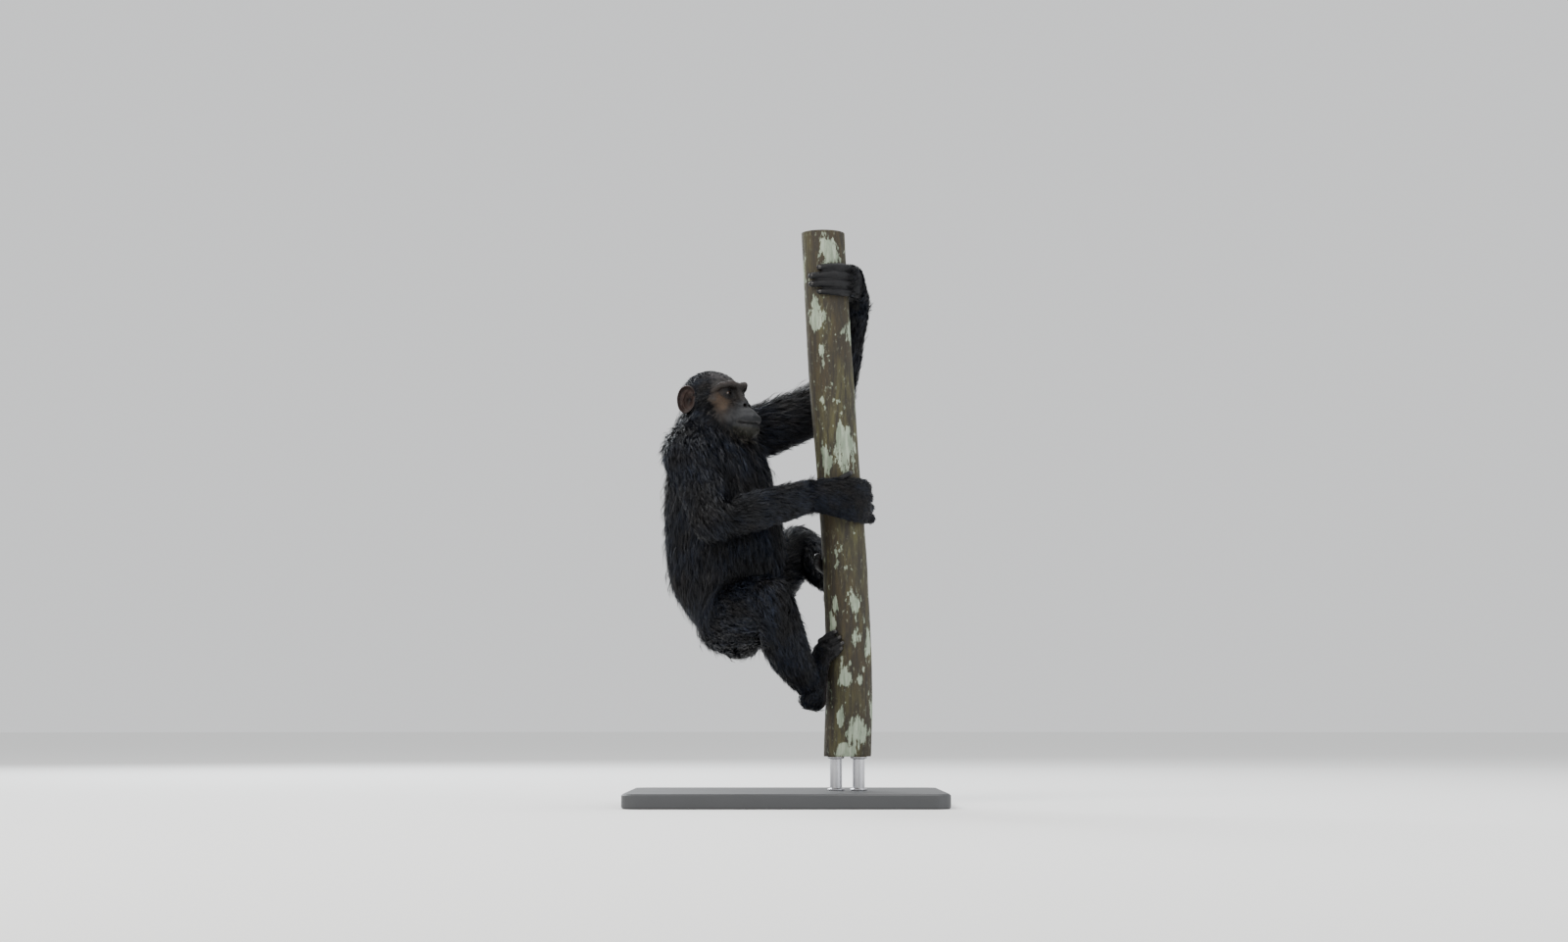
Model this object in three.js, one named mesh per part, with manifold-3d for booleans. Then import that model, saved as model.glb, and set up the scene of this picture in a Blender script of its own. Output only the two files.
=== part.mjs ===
// A life-size, still model of an adult male chimpanzee that climbs a cut length of tree trunk, on a stand.
// Millimetres. +Z is up, +X runs from the animal's back towards the trunk, -Y is the animal's right side.
// The origin is the centre of the underside of the base.
import * as THREE from "three";
import { mergeVertices } from "three/addons/utils/BufferGeometryUtils.js";
import Module from "manifold-3d";

const wasm = await Module();
wasm.setup();

const at = (x, y, z) => new THREE.Vector3(x, y, z);
const radians = THREE.MathUtils.degToRad;

// Driving dimensions
const gap = 0.3; // between touching pieces
const baseSize = at(780, 640, 36);
const rodHeight = 84;
const rodRadius = 15;
const rodSpread = 56; // between the two rods' axes
const trunkFoot = baseSize.z + rodHeight;
const trunkTop = 1430;
const trunkRadius = 57;
const headCentre = at(-175, -5, 1010);
const headYaw = -38; // degrees, the face turned to the animal's right
const headPitch = 4.5; // degrees, the face turned down
const eyeSpacing = 54;
const eyeRadius = 11.5;
const eyeDepth = 51; // the eye's centre in front of the head's centre
const eyeHeight = 12;
const earHeight = 71;
const earWidth = 47;
const shoulderRight = at(-238, -122, 866);
const elbowRight = at(-178, -244, 680);
const wristRight = at(62, -92, 760);
const shoulderLeft = at(-132, 128, 918);
const elbowLeft = at(122, 145, 1014);
const hipRight = at(-134, -72, 450);
const kneeRight = at(-40, -250, 498);
const hipLeft = at(-125, 72, 470);
const kneeLeft = at(32, 258, 655);
const heelHeightRight = 256;
const heelHeightLeft = 514;
const footAzimuthRight = -150;
const footAzimuthLeft = 98;
const knucklesRight = 748; // height of the middle of the right hand's four knuckles
const knucklesLeft = 1303;

// Depth of the coat from the skin to the tips of its locks. The core reaches half of it.
const coatOf = { torso: 30, neck: 22, upperArm: 20, forearm: 15, thigh: 20, shin: 15, head: 10 };
const lockThickness = 0.26; // half a lock's thickness as a share of the coat's depth
const lockSpacing = 2.25; // between neighbours in a row, in half widths of a lock

// Solids

// A closed geometry as a solid, with its doubled vertices merged and its collapsed triangles dropped.
function solid(geometry, place = new THREE.Matrix4()) {
  const bare = geometry.clone().applyMatrix4(place);
  for (const name of Object.keys(bare.attributes)) {
    if (name !== "position") bare.deleteAttribute(name);
  }
  const tolerance = 1e-3;
  const merged = mergeVertices(bare, tolerance);
  const corners = [...merged.index.array];
  const triangles = [];
  for (let i = 0; i < corners.length; i += 3) {
    const [a, b, c] = corners.slice(i, i + 3);
    if (a !== b && b !== c && c !== a) triangles.push(a, b, c);
  }
  return new wasm.Manifold(
    new wasm.Mesh({
      numProp: 3,
      vertProperties: merged.attributes.position.array,
      triVerts: new Uint32Array(triangles),
    }),
  );
}

const join = (pieces) => pieces.reduce((whole, piece) => whole.add(piece));
const cut = (whole, cutters) => cutters.reduce((left, cutter) => left.subtract(cutter), whole);

// The largest closed surface of a solid.
function largest(whole) {
  return whole.decompose().reduce((best, piece) => (piece.volume() > best.volume() ? piece : best));
}

function geometryOf(whole) {
  const mesh = whole.getMesh();
  return new THREE.BufferGeometry()
    .setAttribute("position", new THREE.BufferAttribute(new Float32Array(mesh.vertProperties), 3))
    .setIndex(new THREE.BufferAttribute(new Uint32Array(mesh.triVerts), 1))
    .toNonIndexed();
}

// All of space above or below a height, as a box far larger than the model.
function beyond(height, sign) {
  const reach = 3000;
  const box = new THREE.BoxGeometry(reach, reach, reach);
  return solid(box.translate(0, 0, height + (sign * reach) / 2));
}

// A station of a swept form: its centre, half width along the side direction, half depth, turn in degrees.
const station = (centre, wide, deep = wide, turn = 0) => ({ centre, wide, deep, turn });

// The frame of a swept form at a share of its length: centre, direction, and the two axes of its section.
function frameOf({ stations, side }) {
  const line = new THREE.CatmullRomCurve3(stations.map((s) => s.centre));
  const sizes = new THREE.CatmullRomCurve3(
    stations.map((s) => at(s.wide, s.deep, s.turn)),
    false,
    "catmullrom",
    0.5,
  );
  return (share) => {
    const centre = line.getPoint(share);
    const along = line.getTangent(share);
    const size = sizes.getPoint(share);
    const towards = typeof side === "function" ? side(centre, along) : side;
    const across = towards.clone().addScaledVector(along, -towards.dot(along)).normalize();
    across.applyAxisAngle(along, radians(-size.z));
    return { centre, along, across, up: across.clone().cross(along), wide: size.x, deep: size.y };
  };
}

// A capsule bent along a smooth line of stations, its section following their sizes. Grow makes it thicker.
function sweep(form, grow = 0) {
  const { sides = 10, rings = 4, caps = 2, reach = 1 } = form;
  const frameAt = frameOf(form);
  const capsule = new THREE.CapsuleGeometry(1, 1, caps, sides, rings);
  const { position } = capsule.attributes;
  const frames = new Map();
  for (let i = 0; i < position.count; i += 1) {
    const local = at(0, 0, 0).fromBufferAttribute(position, i);
    const share = Math.round(THREE.MathUtils.clamp(local.y + 0.5, 0, 1) * 1e5) / 1e5;
    if (!frames.has(share)) frames.set(share, frameAt(share));
    const { centre, along, across, up, wide, deep } = frames.get(share);
    const past = local.y - THREE.MathUtils.clamp(local.y, -0.5, 0.5);
    const point = centre
      .clone()
      .addScaledVector(along, past * (Math.min(wide, deep) * reach + grow))
      .addScaledVector(across, local.x * (wide + grow))
      .addScaledVector(up, local.z * (deep + grow));
    position.setXYZ(i, point.x, point.y, point.z);
  }
  return capsule;
}

// An ellipsoid with its half sizes along X, Y and Z, turned by degrees about Z.
function blob({ centre, radii, turn = 0, sides = 14, rings = 9 }, grow = 0) {
  const ball = new THREE.SphereGeometry(1, sides, rings);
  ball.rotateX(Math.PI / 2);
  ball.scale(radii.x + grow, radii.y + grow, radii.z + grow);
  ball.rotateZ(radians(turn));
  ball.translate(centre.x, centre.y, centre.z);
  return ball;
}

const shape = (form, grow) => (form.stations ? sweep(form, grow) : blob(form, grow));
const solids = (forms, grow = 0, place) => join(forms.map((form) => solid(shape(form, grow), place)));

// Coat

// Repeatable random numbers from 0 to 1.
function seeded(seed) {
  let state = seed * 7919;
  return () => {
    state = (state * 1664525 + 1013904223) % 4294967296;
    return state / 4294967296;
  };
}

// A point of a swept form's surface, at a share of its length and an angle round it, lifted off it.
function surfaceOf(form) {
  const frameAt = frameOf(form);
  const length = lengthOf(form);
  return (share, angle, lift) => {
    const near = THREE.MathUtils.clamp(share, 0, 1);
    const { centre, along, across, up, wide, deep } = frameAt(near);
    const past = (share - near) * length;
    const round = Math.sqrt(Math.max(0, 1 - (past / Math.min(wide, deep)) ** 2));
    return centre
      .clone()
      .addScaledVector(along, past)
      .addScaledVector(across, Math.cos(radians(angle)) * (wide + lift) * round)
      .addScaledVector(up, Math.sin(radians(angle)) * (deep + lift) * round);
  };
}

function lengthOf(form) {
  return new THREE.CatmullRomCurve3(form.stations.map((s) => s.centre)).getLength();
}

// Whether a point lies inside a swept form, or within a margin of it.
function isWithin(form, point, margin) {
  const frameAt = frameOf(form);
  const samples = 10;
  return Array.from({ length: samples + 1 }, (_, i) => frameAt(i / samples)).some((frame) => {
    const offset = point.clone().sub(frame.centre);
    const across = offset.dot(frame.across) / (frame.wide + margin);
    const up = offset.dot(frame.up) / (frame.deep + margin);
    const along = offset.dot(frame.along) / (Math.min(frame.wide, frame.deep) + margin);
    return across ** 2 + up ** 2 + along ** 2 < 1;
  });
}

// Along a lock: the share of its length, how far its middle lies below the tips of the coat as a share of the
// coat's depth, and its half width and half thickness as shares of the lock's own.
const lockSteps = [
  { step: 0, below: 1.2, wide: 0.6, thick: 0.9 },
  { step: 0.36, below: 0.5, wide: 1, thick: 1 },
  { step: 0.72, below: 0.14, wide: 0.78, thick: 0.8 },
  { step: 1, below: 0.2, wide: 0.08, thick: 0.25 },
];

// A flat, tapered, bent lock through the points that a function gives for its steps.
function lockForm(pointAt, outwards, wide, thick) {
  const path = lockSteps.map(pointAt);
  const side = outwards.clone().cross(path[3].clone().sub(path[0])).normalize();
  return {
    stations: path.map((point, i) => station(point, wide * lockSteps[i].wide, thick * lockSteps[i].thick)),
    side,
    sides: 4,
    rings: 2,
    caps: 1,
    reach: 0.8,
  };
}

// Locks in staggered rows round a swept form. They lie towards its last station, or towards its first where
// lie is -1, and none starts or ends inside a form to avoid.
function lockRows(form, { coat, rows, from, to, wide, length, lie, avoid = [], seed, only = () => true }) {
  const random = seeded(seed);
  const surface = surfaceOf(form);
  const frameAt = frameOf(form);
  const thick = coat * lockThickness;
  const locks = [];
  for (let row = 0; row < rows; row += 1) {
    const share = THREE.MathUtils.lerp(from, to, row / (rows - 1));
    const size = frameAt(share);
    const count = Math.round((Math.PI * (size.wide + size.deep)) / (wide * lockSpacing));
    for (let k = 0; k < count; k += 1) {
      const angle = ((k + (row % 2) / 2 + (random() - 0.5) * 0.3) / count) * 360;
      const drift = (random() - 0.5) * 20;
      const reach = (lie * length * (0.85 + 0.3 * random())) / lengthOf(form);
      const start = share + (random() - 0.5) * 0.1 * reach;
      const spread = wide * (0.88 + 0.24 * random());
      const pointAt = ({ step, below }) => surface(start + reach * step, angle + drift * step, -coat * below);
      const outwards = surface(share + reach / 2, angle, coat).sub(surface(share + reach / 2, angle, -coat));
      const ends = [pointAt(lockSteps[1]), pointAt(lockSteps[3])];
      if (ends.some((end) => !only(end) || avoid.some((other) => isWithin(other, end, 6)))) continue;
      locks.push(lockForm(pointAt, outwards, spread, thick));
    }
  }
  return locks;
}

// A coated limb or body: its core, which reaches half way to the tips, and its locks.
function coated(form, coat, locks, grow = 0) {
  return join([solid(sweep(form, grow - coat / 2)), ...locks.map((lock) => solid(sweep(lock, grow)))]);
}

// Tree trunk

const trunkForm = {
  stations: [
    station(at(150, 0, trunkFoot - 60), 61, 59),
    station(at(156, 0, 330), 58, 57),
    station(at(149, 0, 545), trunkRadius, 58),
    station(at(131, 0, 820), 55, 56),
    station(at(111, 0, 1100), 57, 56),
    station(at(90, 0, trunkTop + 60), 55, 57),
  ],
  side: at(1, 0, 0),
  sides: 20,
  rings: 9,
};
const trunkFrame = frameOf(trunkForm);

// The trunk's frame at a height, found by halving.
function trunkAt(height) {
  let low = 0;
  let high = 1;
  for (let step = 0; step < 24; step += 1) {
    const middle = (low + high) / 2;
    if (trunkFrame(middle).centre.z < height) low = middle;
    else high = middle;
  }
  return trunkFrame((low + high) / 2);
}

// A point at an azimuth in degrees round the trunk, at a height, a distance out from its bark.
function onTrunk(azimuth, height, out) {
  const { centre, wide, deep } = trunkAt(height);
  const angle = radians(azimuth);
  const [ahead, aside] = [Math.cos(angle), Math.sin(angle)];
  return at(centre.x + ahead * (wide + out), centre.y + aside * (deep + out), height);
}

// The direction across a hand or foot whose palm or sole faces the trunk.
function acrossPalm(point, along) {
  const { centre } = trunkAt(point.z);
  const outwards = at(point.x - centre.x, point.y - centre.y, 0).normalize();
  return along.clone().cross(outwards);
}

function makeTrunk(grow = 0) {
  return cut(solid(sweep(trunkForm, grow)), [beyond(trunkFoot, -1), beyond(trunkTop, 1)]);
}

// Stand

function makeBase() {
  const { x: length, y: width, z: height } = baseSize;
  const corner = 40;
  const bevel = 4;
  const outline = new THREE.Shape();
  outline.moveTo(-length / 2 + corner, -width / 2);
  outline.lineTo(length / 2 - corner, -width / 2);
  outline.absarc(length / 2 - corner, -width / 2 + corner, corner, -Math.PI / 2, 0);
  outline.absarc(length / 2 - corner, width / 2 - corner, corner, 0, Math.PI / 2);
  outline.absarc(-length / 2 + corner, width / 2 - corner, corner, Math.PI / 2, Math.PI);
  outline.absarc(-length / 2 + corner, -width / 2 + corner, corner, Math.PI, Math.PI * 1.5);
  const slab = new THREE.ExtrudeGeometry(outline, {
    depth: height - 2 * bevel,
    bevelThickness: bevel,
    bevelSize: bevel,
    bevelOffset: -bevel,
    bevelSegments: 1,
    curveSegments: 4,
  });
  slab.translate(0, 0, bevel);
  return solid(slab);
}

function makeRod(side) {
  const rod = new THREE.CylinderGeometry(rodRadius, rodRadius, rodHeight - 2 * gap, 16);
  rod.rotateX(Math.PI / 2);
  const { centre } = trunkAt(trunkFoot);
  rod.translate(centre.x + (side * rodSpread) / 2, 0, baseSize.z + rodHeight / 2);
  return solid(rod);
}

// Torso and neck

const torsoForm = {
  stations: [
    station(at(-114, 0, 408), 90, 62, 5),
    station(at(-128, 0, 470), 126, 102, 8),
    station(at(-145, 0, 560), 146, 145, 12),
    station(at(-152, 0, 650), 154, 152, 16),
    station(at(-162, 0, 745), 158, 143, 22),
    station(at(-172, 0, 835), 156, 124, 27),
    station(at(-186, 2, 905), 132, 100, 29),
    station(at(-192, 4, 948), 90, 76, 32),
  ],
  side: at(0, 1, 0),
  sides: 18,
  rings: 8,
  caps: 2,
  reach: 0.7,
};

const neckForm = {
  stations: [
    station(at(-194, 4, 900), 94, 92, 30),
    station(at(-196, 6, 950), 80, 84, 34),
    station(at(-190, 2, 1000), 70, 74, 38),
  ],
  side: at(0, 1, 0),
  sides: 14,
  rings: 3,
  reach: 0.4,
};

// Head, in its own frame: +X to the face, +Y to the animal's left, +Z up. Its skin is one smooth surface over
// simple forms that run into each other, found along lines from a point inside it.

const headPlace = new THREE.Matrix4()
  .makeRotationFromEuler(new THREE.Euler(0, radians(headPitch), radians(headYaw), "ZYX"))
  .setPosition(headCentre);
const headCore = at(2, 0, 10);
const bothSides = [-1, 1];
const mouthHeight = -61;

const ball = (x, y, z, radius) => ({ centre: at(x, y, z), radius });

// A chain of balls given for the animal's left side, run through the middle to its right side.
function mirroredChain(half) {
  const right = half.map(({ centre, radius }) => ball(centre.x, -centre.y, centre.z, radius));
  return [...half, ...right.reverse()];
}

const onBothSides = (make) => bothSides.map(make);

const headForms = [
  { centre: at(-12, 0, 6), radii: at(73, 68, 62), soft: 0 }, // cranium
  { centre: at(26, 0, -14), radii: at(46, 57, 44), soft: 14 }, // face
  {
    balls: mirroredChain([ball(32, 57, 14, 5), ball(51, 44, 29, 8), ball(67, 25, 36, 9), ball(70, 6, 29.5, 8)]),
    soft: 10,
  }, // brow ridge
  ...onBothSides((side) => ({
    balls: [ball(2, side * 62, -8, 6), ball(42, side * 47, -10, 10), ball(58, side * 27, -15, 9)],
    soft: 12,
  })), // cheekbones
  { centre: at(84, 0, -48), radii: at(46, 37, 30), soft: 16 }, // muzzle
  {
    balls: mirroredChain([ball(96, 35, -53, 8), ball(109, 29, -51, 10), ball(125, 12, -50, 11)]),
    soft: 7,
  }, // upper lip
  {
    balls: mirroredChain([ball(96, 32, -70, 8), ball(108, 27, -73, 9.5), ball(123, 11, -74, 11)]),
    soft: 7,
  }, // lower lip
  { centre: at(106, 0, -84), radii: at(24, 26, 14), soft: 9 }, // chin
  ...onBothSides((side) => ({
    balls: [ball(2, side * 50, -42, 17), ball(40, side * 44, -62, 16), ball(88, side * 22, -81, 12)],
    soft: 16,
  })), // jaw
  ...onBothSides((side) => ({ centre: at(48, side * 34, -36), radii: at(28, 16, 24), soft: 12 })), // cheeks
  // corners of the mouth
  ...onBothSides((side) => ({ balls: [ball(68, side * 34, -56, 14), ball(90, side * 30, -62, 12)], soft: 8 })),
  { balls: [ball(66, 0, 20, 8), ball(82, 0, 3, 9), ball(94, 0, -11, 10)], soft: 10 }, // nose
  // nostril rims
  ...onBothSides((side) => ({ balls: [ball(84, side * 11, -16, 7), ball(97, side * 9.5, -18, 7.5)], soft: 4 })),
];
const headHollows = [
  // eye sockets, then temples
  ...onBothSides((side) => ({ centre: at(73, side * 29, 11), radii: at(17, 17, 12), soft: 8 })),
  ...onBothSides((side) => ({ centre: at(22, side * 78, 24), radii: at(28, 14, 22), soft: 12 })),
];

function distanceToEllipsoid(point, { centre, radii }) {
  const offset = point.clone().sub(centre);
  const size = offset.clone().divide(radii).length();
  const slope = offset.divide(radii).divide(radii).length();
  return slope === 0 ? -radii.z : (size * (size - 1)) / slope;
}

function distanceToChain(point, { balls }) {
  let nearest = Infinity;
  for (let i = 0; i + 1 < balls.length; i += 1) {
    const [from, to] = [balls[i], balls[i + 1]];
    const axis = to.centre.clone().sub(from.centre);
    const share = THREE.MathUtils.clamp(point.clone().sub(from.centre).dot(axis) / axis.lengthSq(), 0, 1);
    const middle = from.centre.clone().addScaledVector(axis, share);
    const radius = THREE.MathUtils.lerp(from.radius, to.radius, share);
    nearest = Math.min(nearest, point.distanceTo(middle) - radius);
  }
  return nearest;
}

function distanceTo(point, form) {
  return form.balls ? distanceToChain(point, form) : distanceToEllipsoid(point, form);
}

// The smaller of two distances, with the corner between them rounded.
function softMin(a, b, soft) {
  if (soft === 0) return Math.min(a, b);
  const blend = Math.max(soft - Math.abs(a - b), 0) / soft;
  return Math.min(a, b) - (blend * blend * soft) / 4;
}

// Distance from the skin of the head, negative inside it.
function headDistance(point) {
  const whole = headForms.reduce((near, form) => softMin(near, distanceTo(point, form), form.soft), 1000);
  return headHollows.reduce((near, form) => -softMin(-near, distanceTo(point, form), form.soft), whole);
}

// The outermost point along a direction from the head's core at a distance off its skin.
function headPoint(direction, off) {
  let outside = 190;
  let inside = outside;
  while (inside > 10 && headDistance(headCore.clone().addScaledVector(direction, inside)) > off) {
    outside = inside;
    inside -= 3;
  }
  for (let step = 0; step < 12; step += 1) {
    const middle = (inside + outside) / 2;
    if (headDistance(headCore.clone().addScaledVector(direction, middle)) > off) outside = middle;
    else inside = middle;
  }
  return headCore.clone().addScaledVector(direction, inside);
}

// The skin, as a ball whose pole looks out of the face and whose rings are closest there.
function headSkin(grow) {
  const sides = 32;
  const rings = 24;
  const crowding = 1.25;
  const skin = new THREE.SphereGeometry(1, sides, rings);
  const { position } = skin.attributes;
  for (let i = 0; i < position.count; i += 1) {
    const spot = at(0, 0, 0).fromBufferAttribute(position, i).normalize();
    const polar = Math.PI * (Math.acos(THREE.MathUtils.clamp(spot.y, -1, 1)) / Math.PI) ** crowding;
    const ring = Math.hypot(spot.x, spot.z);
    const round = ring < 1e-6 ? 0 : Math.sin(polar) / ring;
    const point = headPoint(at(Math.cos(polar), -spot.x * round, spot.z * round), grow);
    position.setXYZ(i, point.x, point.y, point.z);
  }
  // Each four-sided face is two triangles, split the other way on the left side, to mirror the right.
  const corners = skin.index.array;
  for (let i = sides * 3; i < corners.length - sides * 3; i += 6) {
    const [a, b, d, , c] = corners.slice(i, i + 6);
    if (position.getY(a) + position.getY(c) > 0) corners.set([a, b, c, a, c, d], i);
  }
  return solid(skin, headPlace);
}

const eyeForms = onBothSides((side) => ({
  centre: at(eyeDepth, (side * eyeSpacing) / 2, eyeHeight),
  radii: at(eyeRadius, eyeRadius, eyeRadius),
  sides: 11,
  rings: 8,
}));

// The lids are a shell round the eyeball, open in front.
const lidThickness = 2.6;
const lidForms = eyeForms.map(({ centre }) => {
  const radius = eyeRadius + lidThickness;
  return { centre, radii: at(radius, radius, radius), sides: 12, rings: 9 };
});
const lidOpenings = eyeForms.map(({ centre }, i) => ({
  centre: centre.clone().add(at(13, bothSides[i] * 0.5, 0)),
  radii: at(13, 10.5, 5.6),
  turn: bothSides[i] * 6,
  sides: 10,
  rings: 6,
}));

const nostrilForms = onBothSides((side) => ({
  centre: at(102, side * 9, -17),
  radii: at(8, 5.2, 4.4),
  turn: side * 22,
  sides: 8,
  rings: 6,
}));

// The line of the mouth, a thin curved cut between the lips.
const mouthForm = {
  stations: [
    station(at(100, -46, mouthHeight - 2), 1.4, 9),
    station(at(120, -36, mouthHeight - 1), 2, 13),
    station(at(140, -15, mouthHeight + 1), 2, 13),
    station(at(140, 15, mouthHeight + 1), 2, 13),
    station(at(120, 36, mouthHeight - 1), 2, 13),
    station(at(100, 46, mouthHeight - 2), 1.4, 9),
  ],
  side: at(0, 0, 1),
  sides: 4,
  rings: 10,
  caps: 1,
};

// A point of the head at an angle from straight ahead and a roll from the crown to its left, off its skin.
function onHead(polar, roll, lift) {
  const [ahead, turn] = [radians(polar), radians(roll)];
  const direction = at(Math.cos(ahead), Math.sin(ahead) * Math.sin(turn), Math.sin(ahead) * Math.cos(turn));
  return headPoint(direction, 0).addScaledVector(direction, lift);
}

// A lock that lies on the head's bare skin, sunk in at its root, from one polar angle and roll to another.
function headLock(from, to) {
  const [wide, thick] = [13, 3.4];
  const [tips, sunk] = [1.1 * coatOf.head, 1.3 * coatOf.head];
  const pointAt = ({ step, below }) =>
    onHead(
      THREE.MathUtils.lerp(from[0], to[0], step),
      THREE.MathUtils.lerp(from[1], to[1], step),
      tips - sunk * below,
    );
  const outwards = pointAt(lockSteps[1]).sub(headCore);
  return lockForm(pointAt, outwards, wide, thick);
}

// Whiskers down the cheeks, each from a polar angle and a roll
const whiskerRoots = [
  [78, 76],
  [76, 100],
  [92, 104],
  [72, 122],
];
const headLocks = bothSides.flatMap((side) =>
  whiskerRoots.map(([polar, roll]) => headLock([polar, side * roll], [polar + 17, side * (roll + 28)])),
);

function makeHead(grow = 0) {
  const skinned = headSkin(grow).add(solids(lidForms, grow, headPlace));
  const openings = [...lidOpenings, ...nostrilForms, mouthForm];
  const opened = cut(skinned, openings.map((form) => solid(shape(form, -grow), headPlace)));
  return opened.add(solids(headLocks, grow, headPlace));
}

// An ear is a cup that faces out and forward: a shell less a hollow, with a ridge in it and a stalk behind.
function makeEar(side, grow = 0) {
  const facing = side * 56; // degrees from straight ahead
  const lean = new THREE.Matrix4().makeRotationZ(radians(facing)).setPosition(-31, side * 78, -9);
  const place = headPlace.clone().multiply(lean);
  const [wide, high] = [earWidth / 2, earHeight / 2];
  const shell = { centre: at(6, 0, 0), radii: at(13, wide, high), sides: 10, rings: 7 };
  const hollow = { centre: at(15, side * -2, -1), radii: at(15, wide - 3.5, high - 5), sides: 10, rings: 7 };
  const stalk = { centre: at(-6, side * -2, -3), radii: at(14, 15, 22), sides: 8, rings: 5 };
  const ridge = {
    stations: [
      station(at(4, side * -5, high * 0.55), 2.6),
      station(at(0, side * 6, high * 0.2), 3),
      station(at(0, side * 7, -high * 0.25), 3),
      station(at(4, side * -2, -high * 0.55), 2.6),
    ],
    side: at(1, 0, 0),
    sides: 5,
    rings: 4,
    caps: 1,
  };
  const cup = solids([shell, stalk], grow, place).subtract(solid(shape(hollow, -grow), place));
  return cup.add(solid(shape(ridge, grow), place));
}

// Limbs

const mix = (a, b, share) => a.clone().lerp(b, share);

const armForms = {
  right: {
    upper: {
      stations: [
        station(at(-212, -64, 884), 62, 60),
        station(shoulderRight, 70, 68),
        station(mix(shoulderRight, elbowRight, 0.5), 62, 57),
        station(elbowRight, 50, 47),
      ],
      side: at(1, 0, 0),
    },
    lower: {
      stations: [
        station(elbowRight, 50, 46),
        station(mix(elbowRight, wristRight, 0.3), 53, 46),
        station(mix(elbowRight, wristRight, 0.7), 49, 40),
        station(wristRight, 42, 33),
      ],
      side: at(0, 0, 1),
    },
  },
  left: {
    upper: {
      stations: [
        station(at(-165, 84, 890), 62, 60),
        station(shoulderLeft, 74, 72),
        station(mix(shoulderLeft, elbowLeft, 0.5), 71, 58),
        station(elbowLeft, 62, 48),
      ],
      side: at(0, 0, 1),
    },
    lower: {
      stations: [
        station(elbowLeft, 48, 46),
        station(at(138, 124, 1070), 48, 44),
        station(at(158, 92, 1165), 43, 38),
        station(onTrunk(38, 1252, 40), 34, 29),
      ],
      side: at(1, 0, 0),
    },
  },
};

// A finger or toe wraps round the trunk from one azimuth and height to another, thick at its joints.
function digitForm({ from, to, out, radius }) {
  const joints = [0, 0.3, 0.52, 0.76, 1];
  const thick = [1.06, 0.92, 1.02, 0.9, 0.72];
  const stations = joints.map((share, i) => {
    const azimuth = THREE.MathUtils.lerp(from.azimuth, to.azimuth, share);
    const height = THREE.MathUtils.lerp(from.height, to.height, share);
    const off = THREE.MathUtils.lerp(out, radius * thick[i] + 0.5, Math.min(1, share * 2));
    return station(onTrunk(azimuth, height, off), radius * thick[i], radius * thick[i]);
  });
  return { stations, side: acrossPalm, sides: 6, rings: 5, caps: 1 };
}

// A hand's palm, its four fingers from the upper one down, which draw together at their tips, and its thumb.
function handForms({ palm, knuckles, height, spread, turn, tips, radii, thumb }) {
  const drawnIn = 1.2;
  const fingers = tips.map((tip, i) => {
    const above = 1.5 - i;
    return digitForm({
      from: { azimuth: knuckles - turn * 4, height: height + above * spread },
      to: { azimuth: tip, height: height + above * (spread - drawnIn) },
      out: 18,
      radius: radii[i],
    });
  });
  const thumbForm = digitForm({ ...thumb, out: 22, radius: 10 });
  const palmForm = { stations: palm, side: acrossPalm, sides: 10, rings: 4, caps: 1, reach: 0.6 };
  return [palmForm, ...fingers, thumbForm];
}

const handRight = handForms({
  palm: [
    station(wristRight, 39, 30),
    station(onTrunk(-104, 757, 38), 45, 25),
    station(onTrunk(-72, 752, 28), 52, 22),
    station(onTrunk(-36, knucklesRight, 20), 55, 18),
  ],
  knuckles: -32,
  height: knucklesRight,
  spread: 26.5,
  turn: 1,
  tips: [62, 72, 70, 52],
  radii: [12, 12.8, 12.6, 11.2],
  thumb: { from: { azimuth: -108, height: 784 }, to: { azimuth: -64, height: 818 } },
});

const handLeft = handForms({
  palm: [
    station(onTrunk(38, 1252, 40), 33, 29),
    station(onTrunk(30, 1276, 34), 37, 25),
    station(onTrunk(15, 1297, 26), 43, 20),
    station(onTrunk(-6, knucklesLeft, 20), 44, 17),
  ],
  knuckles: -8,
  height: knucklesLeft,
  spread: 21.5,
  turn: -1,
  tips: [-104, -124, -124, -107],
  radii: [10.6, 11.4, 11.2, 9.8],
  thumb: { from: { azimuth: 34, height: 1282 }, to: { azimuth: 66, height: 1332 } },
});

const legForms = {
  right: {
    upper: {
      stations: [
        station(at(-130, -40, 438), 74, 80),
        station(hipRight, 84, 83),
        station(mix(hipRight, kneeRight, 0.5), 83, 80),
        station(kneeRight, 60, 60),
      ],
      side: at(0, 0, 1),
    },
    lower: {
      stations: [
        station(kneeRight, 57, 56),
        station(at(-22, -200, 437), 64, 58),
        station(at(17, -118, 352), 53, 48),
        station(onTrunk(-156, heelHeightRight + 42, 52), 37, 36),
      ],
      side: at(1, 0, 0),
    },
  },
  left: {
    upper: {
      stations: [
        station(at(-126, 40, 460), 74, 80),
        station(hipLeft, 88, 86),
        station(mix(hipLeft, kneeLeft, 0.5), 82, 78),
        station(kneeLeft, 59, 59),
      ],
      side: at(0, 0, 1),
    },
    lower: {
      stations: [
        station(kneeLeft, 56, 56),
        station(at(58, 222, 636), 54, 54),
        station(at(86, 166, 592), 44, 44),
        station(onTrunk(109, heelHeightLeft + 44, 50), 34, 34),
      ],
      side: at(1, 0, 0),
    },
  },
};

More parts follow.
